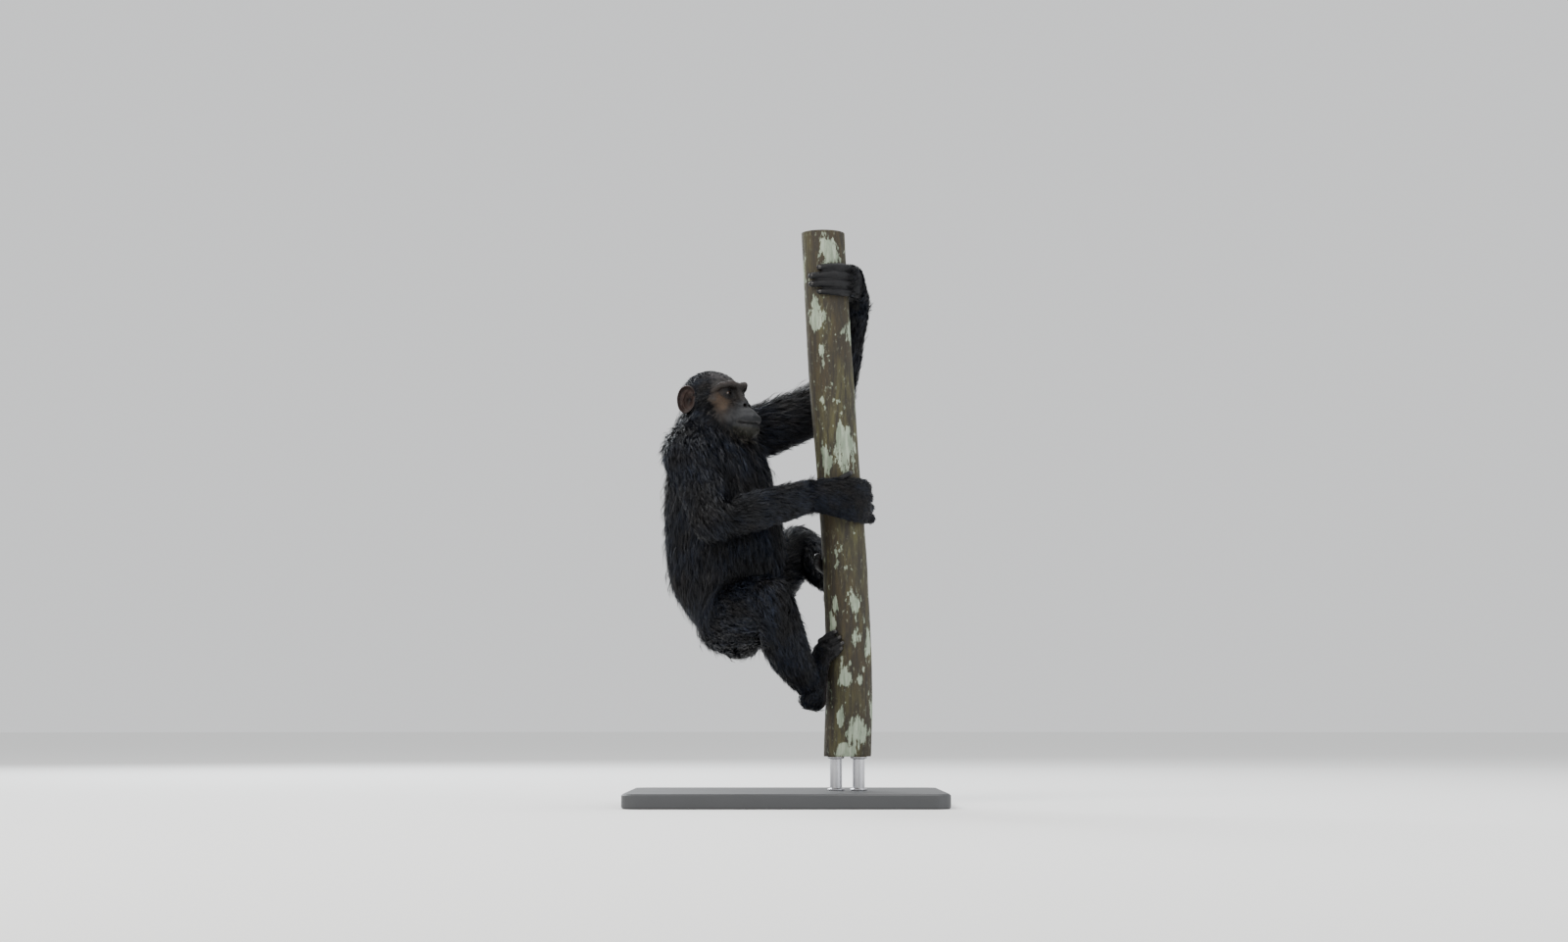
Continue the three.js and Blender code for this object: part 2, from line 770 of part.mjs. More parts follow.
// A foot's sole faces the trunk, its toes wrap forward round the bark and its big toe wraps the other way.
function footForms(middle, turn, heel) {
  const spot = (offset, rise, out) => onTrunk(middle + turn * offset, heel + rise, out);
  const sole = {
    stations: [
      station(spot(-6, 0, 38), 28, 34),
      station(spot(-5, 45, 33), 29, 29),
      station(spot(-2, 92, 24), 34, 21),
      station(spot(2, 128, 17), 37, 15),
    ],
    side: acrossPalm,
    sides: 10,
    rings: 4,
    caps: 2,
    reach: 0.9,
  };
  const toeTips = [30, 39, 45, 42];
  const toeRadii = [9, 9, 8.6, 7.8];
  const toes = toeTips.map((tip, i) =>
    digitForm({
      from: { azimuth: middle + turn * (-10 + 8 * i), height: heel + 147 - 16 * i },
      to: { azimuth: middle + turn * tip, height: heel + 170 - 14 * i },
      out: 15,
      radius: toeRadii[i],
    }),
  );
  const bigToe = digitForm({
    from: { azimuth: middle - turn * 20, height: heel + 62 },
    to: { azimuth: middle - turn * 84, height: heel + 100 },
    out: 20,
    radius: 13,
  });
  return [sole, ...toes, bigToe];
}
const footRight = footForms(footAzimuthRight, 1, heelHeightRight);
const footLeft = footForms(footAzimuthLeft, -1, heelHeightLeft);

// Materials

const finishes = {
  coat: { color: 0x17171a, roughness: 0.75, metalness: 0 },
  face: { color: 0x3b322e, roughness: 0.6, metalness: 0 },
  ear: { color: 0x5a3f33, roughness: 0.6, metalness: 0 },
  eye: { color: 0x2a1508, roughness: 0.15, metalness: 0 },
  hide: { color: 0x201f21, roughness: 0.55, metalness: 0 },
  bark: { color: 0x5c5540, roughness: 0.9, metalness: 0 },
  base: { color: 0x3a3a3c, roughness: 0.5, metalness: 0 },
  steel: { color: 0x8a8c90, roughness: 0.35, metalness: 1 },
};

// Coat of the body and limbs. Locks lie down the torso and legs, and to the elbow on both parts of an arm.

const neckLocks = lockRows(neckForm, {
  coat: coatOf.neck, rows: 2, from: 0.8, to: 0.36, wide: 52, length: 100, lie: -1, seed: 3,
  only: (point) => headDistance(point.clone().applyMatrix4(headPlace.clone().invert())) > 4,
});
const torsoLocks = lockRows(torsoForm, {
  coat: coatOf.torso, rows: 4, from: 0.9, to: 0.32, wide: 60, length: 190, lie: -1, seed: 5,
  avoid: [neckForm, armForms.right.upper, armForms.left.upper, legForms.right.upper, legForms.left.upper],
});
const limbLocks = Object.fromEntries(
  ["right", "left"].map((name, i) => {
    const [arm, leg] = [armForms[name], legForms[name]];
    const settings = (coat, wide, length, seed) => ({ coat, rows: 2, wide, length, seed: seed + i, lie: 1 });
    return [
      name,
      {
        upperArm: lockRows(arm.upper, {
          ...settings(coatOf.upperArm, 38, 135, 11), from: 0.14, to: 0.47, avoid: [torsoForm, neckForm],
        }),
        forearm: lockRows(arm.lower, {
          ...settings(coatOf.forearm, 35, 112, 21), from: 0.82, to: 0.46, lie: -1, avoid: [torsoForm],
        }),
        thigh: lockRows(leg.upper, {
          ...settings(coatOf.thigh, 50, 130, 31), from: 0.12, to: 0.44, avoid: [torsoForm],
        }),
        shin: lockRows(leg.lower, {
          ...settings(coatOf.shin, 43, 105, 41), from: 0.16, to: 0.5, avoid: [torsoForm, leg.upper],
        }),
      },
    ];
  }),
);

// Assembly: each piece is cut clear of the pieces that it meets, which come before it

const chimpanzee = new THREE.Group();

function addNode(name, finish, whole) {
  const mesh = new THREE.Mesh(geometryOf(largest(whole)), new THREE.MeshStandardMaterial(finishes[finish]));
  mesh.name = name;
  chimpanzee.add(mesh);
}

const makeTorso = (grow) => coated(torsoForm, coatOf.torso, torsoLocks, grow);
const makeNeck = (grow) => coated(neckForm, coatOf.neck, neckLocks, grow);
const trunkClear = makeTrunk(gap);
const headClear = makeHead(gap);
const torsoClear = makeTorso(gap);
const neckClear = makeNeck(gap);
const bodyClear = [trunkClear, headClear, neckClear, torsoClear];

addNode("trunk_perch", "bark", makeTrunk());
addNode("stand_base", "base", makeBase());
bothSides.forEach((side, i) => addNode(`stand_rod_${i + 1}`, "steel", makeRod(side)));

addNode("head", "face", makeHead().subtract(solids(eyeForms, gap, headPlace)));
addNode("neck", "coat", makeNeck().subtract(headClear));
addNode("torso", "coat", cut(makeTorso(), [headClear, neckClear]));
["right", "left"].forEach((name, i) => {
  addNode(`eye_${name}`, "eye", solids([eyeForms[i]], 0, headPlace));
  addNode(`ear_${name}`, "ear", cut(makeEar(bothSides[i]), [headClear, neckClear]));
});

for (const name of ["right", "left"]) {
  const [arm, leg, locks] = [armForms[name], legForms[name], limbLocks[name]];
  const [hand, foot] = name === "right" ? [handRight, footRight] : [handLeft, footLeft];
  const upperArm = (grow) => coated(arm.upper, coatOf.upperArm, locks.upperArm, grow);
  const forearm = (grow) => coated(arm.lower, coatOf.forearm, locks.forearm, grow);
  const thigh = (grow) => coated(leg.upper, coatOf.thigh, locks.thigh, grow);
  const shin = (grow) => coated(leg.lower, coatOf.shin, locks.shin, grow);
  addNode(`upper_arm_${name}`, "coat", cut(upperArm(), bodyClear));
  addNode(`forearm_${name}`, "coat", cut(forearm(), [...bodyClear, upperArm(gap)]));
  addNode(`hand_${name}`, "hide", cut(solids(hand), [trunkClear, forearm(gap)]));
  addNode(`thigh_${name}`, "coat", cut(thigh(), bodyClear));
  addNode(`shin_${name}`, "coat", cut(shin(), [...bodyClear, thigh(gap)]));
  addNode(`foot_${name}`, "hide", cut(solids(foot), [trunkClear, shin(gap)]));
}

export default chimpanzee;
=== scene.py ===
import math

import bpy
import numpy as np
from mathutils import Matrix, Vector
from mathutils.bvhtree import BVHTree
from mathutils.kdtree import KDTree


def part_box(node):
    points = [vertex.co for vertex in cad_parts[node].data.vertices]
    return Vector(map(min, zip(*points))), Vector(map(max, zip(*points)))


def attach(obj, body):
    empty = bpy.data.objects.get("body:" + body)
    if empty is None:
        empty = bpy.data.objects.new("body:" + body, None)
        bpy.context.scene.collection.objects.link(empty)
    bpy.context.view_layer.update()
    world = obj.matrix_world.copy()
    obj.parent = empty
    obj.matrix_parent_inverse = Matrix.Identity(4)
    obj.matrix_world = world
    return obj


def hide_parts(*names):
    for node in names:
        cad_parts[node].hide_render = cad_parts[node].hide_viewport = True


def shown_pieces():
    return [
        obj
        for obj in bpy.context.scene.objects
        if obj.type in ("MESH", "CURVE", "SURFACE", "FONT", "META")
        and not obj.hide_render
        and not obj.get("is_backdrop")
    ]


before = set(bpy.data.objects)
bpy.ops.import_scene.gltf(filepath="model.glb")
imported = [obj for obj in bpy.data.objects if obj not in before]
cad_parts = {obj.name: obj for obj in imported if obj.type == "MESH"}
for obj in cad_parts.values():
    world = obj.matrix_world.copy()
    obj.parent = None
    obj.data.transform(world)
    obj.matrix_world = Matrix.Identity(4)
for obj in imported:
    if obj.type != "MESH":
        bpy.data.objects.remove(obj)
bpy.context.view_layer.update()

mm = 0.001
weldDistance = 1e-5
sides = {"Right": -1, "Left": 1}


# Helpers for modelling in code

def deselectAll():
    if bpy.context.object and bpy.context.object.mode != "OBJECT":
        bpy.ops.object.mode_set(mode="OBJECT")
    bpy.ops.object.select_all(action="DESELECT")


def pick(*pieces):
    deselectAll()
    for piece in pieces:
        piece.select_set(True)
    bpy.context.view_layer.objects.active = pieces[0]


def pointsOf(piece):
    co = np.empty(len(piece.data.vertices) * 3)
    piece.data.vertices.foreach_get("co", co)
    return co.reshape(-1, 3)


def setPoints(piece, points):
    piece.data.vertices.foreach_set("co", np.ascontiguousarray(points, float).ravel())
    piece.data.update()


def normalsOf(piece):
    normals = np.empty(len(piece.data.vertices) * 3)
    piece.data.vertices.foreach_get("normal", normals)
    return normals.reshape(-1, 3)


def modify(piece, kind, **settings):
    pick(piece)
    bpy.ops.object.modifier_add(type=kind)
    modifier = piece.modifiers[-1]
    for name, value in settings.items():
        setattr(modifier, name, value)
    bpy.ops.object.modifier_apply(modifier=modifier.name)


def joined(pieces, name):
    pick(*pieces)
    if len(pieces) > 1:
        bpy.ops.object.join()
    piece = bpy.context.object
    piece.name = name
    piece.data.name = name
    return piece


def mended(piece, weld=True):
    # joins the points that meet and turns all faces outwards
    pick(piece)
    bpy.ops.object.mode_set(mode="EDIT")
    bpy.ops.mesh.select_all(action="SELECT")
    if weld:
        bpy.ops.mesh.remove_doubles(threshold=weldDistance)
    bpy.ops.mesh.normals_make_consistent(inside=False)
    bpy.ops.object.mode_set(mode="OBJECT")
    return piece


def smoothed(piece):
    pick(piece)
    bpy.ops.object.shade_smooth()
    return piece


def ball(segments, rings):
    deselectAll()
    bpy.ops.mesh.primitive_uv_sphere_add(segments=segments, ring_count=rings, radius=1)
    return bpy.context.object


def grid(columns, rows):
    deselectAll()
    bpy.ops.mesh.primitive_grid_add(x_subdivisions=columns, y_subdivisions=rows, size=2)
    return bpy.context.object


def addLayer(mesh, label, values):
    layer = mesh.attributes.new(label, "FLOAT", "POINT")
    layer.data.foreach_set("value", values.astype(np.float32))


def smoothStep(low, high, value):
    t = np.clip((value - low) / (high - low), 0, 1)
    return t * t * (3 - 2 * t)


def bump(value, centre, width):
    return np.exp(-(((value - centre) / width) ** 2))


def spot(u, v, centre, widths):
    return np.exp(-(((u - centre[0]) / widths[0]) ** 2 + ((v - centre[1]) / widths[1]) ** 2))


def unit(vectors):
    return vectors / np.maximum(np.linalg.norm(vectors, axis=-1, keepdims=True), 1e-9)


def laidOn(vectors, normal):
    # directions of vectors, laid flat on a surface
    return unit(vectors - normal * np.sum(vectors * normal, axis=1, keepdims=True))


def turnLevel(angle):
    return np.array([[math.cos(angle), -math.sin(angle), 0], [math.sin(angle), math.cos(angle), 0], [0, 0, 1]])


def roughField(points, size, seed):
    # smooth random numbers from -1 to 1 in space, one to each cell of a size, run into each other
    cells = np.asarray(points) / size + 1000 + seed * 17.3
    base = np.floor(cells).astype(np.int64)
    near = cells - base
    near = near * near * (3 - 2 * near)
    total = np.zeros(len(cells))
    for corner in range(8):
        step = np.array([corner & 1, (corner >> 1) & 1, corner >> 2])
        x, y, z = ((base + step) % 4096).T
        mixed = (x * 73856093) ^ (y * 19349663) ^ (z * 83492791) ^ (seed * 2654435761 % 4294967291)
        mixed = (mixed ^ (mixed >> 13)) * 1274126177 % 4294967296
        value = ((mixed ^ (mixed >> 16)) % 65536) / 32767.5 - 1
        weight = np.prod(np.where(step, near, 1 - near), axis=1)
        total += value * weight
    return total


def newMaterial(name, roughness, settings=()):
    material = bpy.data.materials.new(name)
    material.use_nodes = True
    shader = material.node_tree.nodes["Principled BSDF"]
    for socket, value in {"Roughness": roughness, **dict(settings)}.items():
        shader.inputs[socket].default_value = value
    return material, material.node_tree, shader


def turnedTo(piece, at, towards):
    # points a camera or lamp at a place
    piece.rotation_euler = (Vector(towards) - Vector(at)).to_track_quat("-Z", "Y").to_euler()


# Camera, floor and light

camera = {"at": (-0.005, -6.470, 0.206), "towards": (-0.005, 0, 0.829), "lens": 59.7}
bpy.ops.object.camera_add(location=camera["at"])
view = bpy.context.object
view.data.lens = camera["lens"]
view.data.clip_end = 200
turnedTo(view, camera["at"], camera["towards"])
bpy.context.scene.camera = view

deselectAll()
bpy.ops.mesh.primitive_circle_add(vertices=96, radius=45, fill_type="NGON")
floor = bpy.context.object
floor.name = "floor"
floorPaint = newMaterial("floorPaint", 0.9, {"Base Color": (0.88, 0.88, 0.87, 1), "Specular IOR Level": 0.0})[0]
floor.data.materials.append(floorPaint)
floor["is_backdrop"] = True

lightsTowards = (0, 0, 0.8)
lights = {
    "key": {"at": (-3.2, -4.2, 4.6), "size": 3.2, "power": 330, "colour": (1, 0.97, 0.93)},
    "fill": {"at": (4.6, -3.4, 2.4), "size": 3.6, "power": 120, "colour": (0.9, 0.95, 1)},
    "rim": {"at": (-2.4, 4.4, 3.8), "size": 2.6, "power": 330, "colour": (0.93, 0.97, 1)},
    "top": {"at": (0.6, 0.6, 5.2), "size": 3.0, "power": 130, "colour": (1, 1, 1)},
}
for name, light in lights.items():
    bpy.ops.object.light_add(type="AREA", location=light["at"])
    lamp = bpy.context.object
    lamp.name = name
    lamp.data.size = light["size"]
    lamp.data.energy = light["power"]
    lamp.data.color = light["colour"]
    turnedTo(lamp, light["at"], lightsTowards)

world = bpy.data.worlds.new("studio")
bpy.context.scene.world = world
world.use_nodes = True
world.node_tree.nodes["Background"].inputs["Color"].default_value = (0.93, 0.94, 0.95, 1)
world.node_tree.nodes["Background"].inputs["Strength"].default_value = 1.0
print("camera, floor and lights")


# Materials

def addNode(tree, kind, links=(), **values):
    node = tree.nodes.new(kind)
    for name, value in values.items():
        if name in node.inputs.keys():
            node.inputs[name].default_value = value
        else:
            setattr(node, name, value)
    for socket, source in dict(links).items():
        tree.links.new(source, node.inputs[socket])
    return node


def attribute(tree, name, output="Fac"):
    return addNode(tree, "ShaderNodeAttribute", attribute_name=name).outputs[output]


def objectPlace(tree):
    return addNode(tree, "ShaderNodeTexCoord").outputs["Object"]


def noise(tree, coordinate, scale, detail=4, roughness=0.55, stretch=(1, 1, 1)):
    mapped = addNode(tree, "ShaderNodeMapping", {"Vector": coordinate})
    mapped.inputs["Scale"].default_value = stretch
    settings = {"Scale": scale, "Detail": detail, "Roughness": roughness}
    return addNode(tree, "ShaderNodeTexNoise", {"Vector": mapped.outputs[0]}, **settings).outputs["Fac"]


def ramp(tree, value, low, high, start=0.0, end=1.0):
    node = addNode(tree, "ShaderNodeMapRange", {"Value": value}, interpolation_type="SMOOTHSTEP")
    for name, number in {"From Min": low, "From Max": high, "To Min": start, "To Max": end}.items():
        node.inputs[name].default_value = number
    return node.outputs[0]


def maths(tree, operation, first, second):
    node = addNode(tree, "ShaderNodeMath", operation=operation)
    for socket, value in zip(node.inputs, (first, second)):
        if isinstance(value, (int, float)):
            socket.default_value = value
        else:
            tree.links.new(value, socket)
    return node.outputs[0]


def times(tree, first, second):
    return maths(tree, "MULTIPLY", first, second)


def plus(tree, first, second):
    return maths(tree, "ADD", first, second)


def blendColours(tree, amount, first, second):
    node = addNode(tree, "ShaderNodeMix", data_type="RGBA")
    for index, value in ((0, amount), (6, first), (7, second)):
        socket = node.inputs[index]
        if isinstance(value, (int, float)):
            socket.default_value = value
        elif isinstance(value, tuple):
            socket.default_value = (*value, 1)
        else:
            tree.links.new(value, socket)
    return node.outputs[2]


def newGroup(name, inputs, outputs):
    group = bpy.data.node_groups.new(name, "ShaderNodeTree")
    for label, kind, value in inputs:
        socket = group.interface.new_socket(label, in_out="INPUT", socket_type=kind)
        if value is not None:
            socket.default_value = value
    for label, kind in outputs:
        group.interface.new_socket(label, in_out="OUTPUT", socket_type=kind)
    return group, group.nodes.new("NodeGroupInput"), group.nodes.new("NodeGroupOutput")


# Mottling: fine and broad variation, as a value about 1 to darken a colour and as a height
mottling, source, sink = newGroup(
    "mottling",
    [("Vector", "NodeSocketVector", None), ("Fine", "NodeSocketFloat", 200.0), ("Broad", "NodeSocketFloat", 20.0),
     ("Strength", "NodeSocketFloat", 0.5)],
    [("Shade", "NodeSocketFloat"), ("Height", "NodeSocketFloat")],
)
fine = mottling.nodes.new("ShaderNodeTexNoise")
fine.inputs["Detail"].default_value = 5
broad = mottling.nodes.new("ShaderNodeTexNoise")
broad.inputs["Detail"].default_value = 3
for node, label in ((fine, "Fine"), (broad, "Broad")):
    mottling.links.new(source.outputs["Vector"], node.inputs["Vector"])
    mottling.links.new(source.outputs[label], node.inputs["Scale"])
both = plus(mottling, *[maths(mottling, "SUBTRACT", node.outputs["Fac"], 0.5) for node in (fine, broad)])
shade = plus(mottling, times(mottling, both, source.outputs["Strength"]), 1.0)
mottling.links.new(shade, sink.inputs["Shade"])
mottling.links.new(fine.outputs["Fac"], sink.inputs["Height"])


def addMottling(tree, fineScale, broadScale, strength):
    place = objectPlace(tree)
    node = tree.nodes.new("ShaderNodeGroup")
    node.node_tree = mottling
    tree.links.new(place, node.inputs["Vector"])
    for name, value in {"Fine": fineScale, "Broad": broadScale, "Strength": strength}.items():
        node.inputs[name].default_value = value
    return place, node.outputs["Shade"], node.outputs["Height"]


def addBump(tree, shader, height, strength, distance):
    node = addNode(tree, "ShaderNodeBump", {"Height": height}, Strength=strength, Distance=distance)
    tree.links.new(node.outputs[0], shader.inputs["Normal"])


def shadeWith(tree, colour, value):
    node = addNode(tree, "ShaderNodeVectorMath", operation="SCALE")
    if isinstance(colour, tuple):
        node.inputs[0].default_value = colour
    else:
        tree.links.new(colour, node.inputs[0])
    tree.links.new(value, node.inputs["Scale"])
    return node.outputs[0]


# Skin takes its broad markings from an attribute that follows its folds, with painted highlights and painted shade
# among them; pores and fine lines are added here
skinMaterial, tree, shader = newMaterial("skin", 0.5, {"Specular IOR Level": 0.24})
tone = attribute(tree, "tone", "Color")
place, shade, height = addMottling(tree, 420, 60, 0.55)
tree.links.new(shadeWith(tree, tone, shade), shader.inputs["Base Color"])
voronoi = addNode(tree, "ShaderNodeTexVoronoi", {"Vector": place}, Scale=520.0, feature="DISTANCE_TO_EDGE")
skinHeight = plus(tree, times(tree, ramp(tree, voronoi.outputs["Distance"], 0.0, 0.25), 0.7), height)
addBump(tree, shader, skinHeight, 0.4, 0.0006)
tree.links.new(ramp(tree, shade, 0.7, 1.3, 0.45, 0.62), shader.inputs["Roughness"])

nailMaterial, tree, shader = newMaterial("nail", 0.33)
place, shade, height = addMottling(tree, 900, 120, 0.5)
tree.links.new(shadeWith(tree, (0.016, 0.014, 0.013), shade), shader.inputs["Base Color"])
addBump(tree, shader, height, 0.15, 0.0005)

# the hair is painted darker towards its roots: painted shade deep in the coat
coatRootShade = (0.0030, 0.0030, 0.0036)
coatMaterial, tree, shader = newMaterial("coat", 0.44, {"Specular IOR Level": 0.18})
place, shade, height = addMottling(tree, 75, 9, 0.6)
tone = attribute(tree, "tone", "Color")
rooted = blendColours(tree, ramp(tree, attribute(tree, "along"), 0.0, 0.7), coatRootShade, tone)
tree.links.new(shadeWith(tree, rooted, shade), shader.inputs["Base Color"])
print("materials")


# Shapes: the body's forms are tubes swept through stations, in millimetres, as in the frame

def through(points, shares, even=False):
    # a smooth curve through points, and its slope, at shares of its length
    points = np.asarray(points, float)
    ends = np.vstack([2 * points[0] - points[1], points, 2 * points[-1] - points[-2]])
    spans = len(points) - 1
    place = np.clip(np.asarray(shares, float), 0, 1) * spans
    first = np.minimum(place.astype(int), spans - 1)
    t = (place - first)[:, None]
    p0, p1, p2, p3 = (ends[first + k] for k in range(4))
    if even:
        t1, t2 = (p2 - p0) / 2, (p3 - p1) / 2
    else:
        pairs = ((p0, p1), (p1, p2), (p2, p3))
        d0, d1, d2 = (np.sqrt(np.linalg.norm(b - a, axis=1, keepdims=True)) for a, b in pairs)
        t1 = ((p1 - p0) / d0 - (p2 - p0) / (d0 + d1) + (p2 - p1) / d1) * d1
        t2 = ((p2 - p1) / d1 - (p3 - p1) / (d1 + d2) + (p3 - p2) / d2) * d1
    c2 = 3 * (p2 - p1) - 2 * t1 - t2
    c3 = 2 * (p1 - p2) + t1 + t2
    return p1 + t1 * t + c2 * t**2 + c3 * t**3, t1 + 2 * c2 * t + 3 * c3 * t**2


def turnedAbout(vectors, axes, degrees):
    angle = np.radians(degrees)[:, None]
    return vectors * np.cos(angle) + np.cross(axes, vectors) * np.sin(angle)


def along(form, shares):
    # centre, direction, the section's two axes and half sizes, and the coat's depth, at shares of the length
    rows = np.array([[*s, *[0] * (7 - len(s))] for s in form["stations"]], float)
    centre, slope = through(rows[:, :3], shares)
    size = through(rows[:, 3:], shares, even=True)[0]
    direction = unit(slope)
    if isinstance(form["side"], str):
        aside = np.cross(direction, fromTrunk(centre))
    else:
        aside = np.broadcast_to(np.array(form["side"], float), centre.shape)
    across = turnedAbout(laidOn(aside, direction), direction, -size[:, 2])
    return centre, direction, across, np.cross(across, direction), size[:, 0], size[:, 1], size[:, 3]


def sweptSkin(form, segments=44, rings=36):
    # a ball drawn out along a form, inside it by the depth of the coat, with a rounded cap at each end
    piece = ball(segments, rings)
    co = pointsOf(piece)
    polar = np.arccos(np.clip(-co[:, 2], -1, 1)) / math.pi
    cap = 0.16
    start, end = (np.clip(share / cap, 0, 1) * math.pi / 2 for share in (polar, 1 - polar))
    centre, direction, across, up, wide, deep, coat = along(form, (polar - cap) / (1 - 2 * cap))
    wide, deep = wide - coat, deep - coat
    past = (np.cos(end) - np.cos(start)) * np.minimum(wide, deep) * form.get("reach", 1)
    width = np.sin(start) * np.sin(end)
    angle = np.arctan2(co[:, 1], co[:, 0])
    points = centre + direction * past[:, None]
    points += across * (np.cos(angle) * width * wide)[:, None] + up * (np.sin(angle) * width * deep)[:, None]
    setPoints(piece, points * mm)
    return mended(piece)


# Tree trunk: a cut length with smooth bark, fine upright cracks and pale lichen

trunk = {
    "stations": [(150, 0, 60, 61, 59), (156, 0, 330, 58, 57), (149, 0, 545, 57, 58), (131, 0, 820, 55, 56),
                 (111, 0, 1100, 57, 56), (90, 0, 1490, 55, 57)],
    "foot": 120,
    "top": 1430,
    "radius": 57,
    "around": 128,
    "rows": 372,
    "capRows": 14,
    # lichen patches: azimuth, height, half width in degrees, half height
    "lichen": [(-124, 1214, 20, 46), (-112, 1129, 9, 14), (-121, 1004, 8, 12), (-62, 893, 36, 60), (-122, 857, 16, 38),
               (-124, 495, 8, 26), (-133, 452, 10, 24), (-70, 486, 20, 36), (-72, 418, 13, 26),
               (-32, 388, 16, 36), (-104, 317, 17, 28), (-62, 309, 9, 12), (-60, 176, 30, 36), (-112, 214, 8, 30),
               (-80, 1372, 26, 34), (-52, 760, 16, 30), (-95, 130, 30, 20), (10, 1000, 26, 50), (62, 560, 30, 60),
               (150, 700, 22, 44), (-168, 1330, 16, 30), (120, 1120, 26, 46), (-8, 240, 24, 50), (95, 300, 20, 40),
               (170, 380, 24, 30), (32, 860, 14, 24), (-20, 1180, 16, 36)],
}
trunkShares = np.linspace(0, 1, 400)
trunkLine = through([s[:3] for s in trunk["stations"]], trunkShares)[0]
trunkSize = through([s[3:] for s in trunk["stations"]], trunkShares, even=True)[0]


def trunkAt(height):
    x = np.interp(height, trunkLine[:, 2], trunkLine[:, 0])
    half = np.stack([np.interp(height, trunkLine[:, 2], trunkSize[:, k]) for k in (0, 1)], axis=-1)
    return np.stack([x, x * 0, np.asarray(height, float)], axis=-1), half


def onTrunk(azimuth, height, out):
    axis, half = trunkAt(float(height))
    angle = math.radians(azimuth)
    x, y = axis[0] + math.cos(angle) * (half[0] + out), math.sin(angle) * (half[1] + out)
    return float(x), float(y), float(height)


def fromTrunk(points):
    # level directions from the trunk's middle out to points
    return unit((points - trunkAt(points[..., 2])[0]) * (1, 1, 0))


bark = grid(trunk["around"], trunk["rows"])
co = pointsOf(bark)
azimuth = co[:, 0] * 180
cap = trunk["capRows"] / trunk["rows"]
v = (co[:, 1] + 1) / 2
inwards = np.clip(np.minimum(v, 1 - v) / cap, 0, 1)
height = trunk["foot"] + (trunk["top"] - trunk["foot"]) * np.clip((v - cap) / (1 - 2 * cap), 0, 1)
axis, half = trunkAt(height)
angle = np.radians(azimuth)
ringPoints = np.stack([np.cos(angle) * trunk["radius"], np.sin(angle) * trunk["radius"], height], axis=1)
broad = roughField(ringPoints * (1, 1, 0.45), 46, 3)
cracks = roughField(ringPoints * (1, 1, 0.10), 5.0, 5) + 0.6 * roughField(ringPoints * (1, 1, 0.2), 2.6, 6)
lichen = np.full(len(co), -1.0)
ragged = 0.45 * roughField(ringPoints * (1, 1, 0.5), 16, 8) + 0.35 * roughField(ringPoints * (1, 1, 0.35), 6, 9)
for patchAzimuth, patchHeight, patchWide, patchHigh in trunk["lichen"]:
    away = (azimuth - patchAzimuth + 180) % 360 - 180
    near = 1 - np.hypot(away / patchWide, (height - patchHeight) / patchHigh)
    lichen = np.maximum(lichen, near)
lichen = np.clip(lichen + ragged, -1, 1)
relief = 0.9 * broad + 0.45 * cracks - 0.35 * smoothStep(0.55, 0.9, cracks) + 0.5 * smoothStep(0.05, 0.3, lichen)
relief = np.where(inwards < 1, relief * 0.3, relief) - 1.1
edge = inwards * (1 - 0.015 * ((inwards > 0.9) & (inwards < 1)))
radius = (half + relief[:, None]) * edge[:, None]
points = np.stack([axis[:, 0] + np.cos(angle) * radius[:, 0], np.sin(angle) * radius[:, 1], height], axis=1)
setPoints(bark, points * mm)
# lay out the lichen and the cut ends as attributes before the seam is closed
for label, values in {"lichen": lichen, "cut": np.where(inwards < 0.96, inwards, -1.0)}.items():
    addLayer(bark.data, label, values)
bark = smoothed(mended(joined([bark], "bark")))
pick(bark)
bpy.ops.object.shade_smooth_by_angle(angle=math.radians(50))

barkMaterial, tree, shader = newMaterial("bark", 0.82)
place = objectPlace(tree)
streaks = noise(tree, place, 90, detail=6, roughness=0.62, stretch=(1, 1, 0.14))
patches = noise(tree, place, 13, detail=3, stretch=(1, 1, 0.5))
flecks = noise(tree, place, 170, detail=4, roughness=0.7, stretch=(1, 1, 0.3))
olive = blendColours(tree, ramp(tree, patches, 0.36, 0.62), (0.040, 0.029, 0.012), (0.066, 0.061, 0.023))
barkColour = blendColours(tree, ramp(tree, streaks, 0.34, 0.7), (0.019, 0.015, 0.010), olive)
barkColour = blendColours(tree, times(tree, ramp(tree, flecks, 0.58, 0.70), 0.55), barkColour, (0.17, 0.18, 0.12))
lichenField = attribute(tree, "lichen")
lichenEdge = plus(tree, lichenField, times(tree, maths(tree, "SUBTRACT", flecks, 0.5), 2.6))
specks = noise(tree, place, 46, detail=5, roughness=0.6, stretch=(1, 1, 0.55))
speckMask = times(tree, ramp(tree, specks, 0.615, 0.66), 0.8)
lichenMask = maths(tree, "MAXIMUM", ramp(tree, lichenEdge, 0.04, 0.30), speckMask)
lichenColour = blendColours(tree, ramp(tree, streaks, 0.35, 0.65), (0.16, 0.20, 0.14), (0.33, 0.38, 0.29))
sideColour = blendColours(tree, times(tree, lichenMask, 0.93), barkColour, lichenColour)
cutField = attribute(tree, "cut")
rings = maths(tree, "SINE", plus(tree, times(tree, cutField, 95.0), times(tree, patches, 6.0)), 0.0)
woodColour = blendColours(tree, ramp(tree, rings, -0.6, 0.9), (0.36, 0.25, 0.14), (0.50, 0.37, 0.22))
cutMask = times(tree, ramp(tree, cutField, -0.5, -0.1), ramp(tree, cutField, 0.95, 0.93))
tree.links.new(blendColours(tree, cutMask, sideColour, woodColour), shader.inputs["Base Color"])
barkHeight = plus(tree, times(tree, streaks, 0.8), times(tree, flecks, 0.5))
addBump(tree, shader, barkHeight, 0.8, 0.0022)
bark.data.materials.append(barkMaterial)
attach(bark, "root")
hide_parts("trunk_perch")
print("tree trunk")


# Stand: the base keeps its shape, the rods get collars at both ends

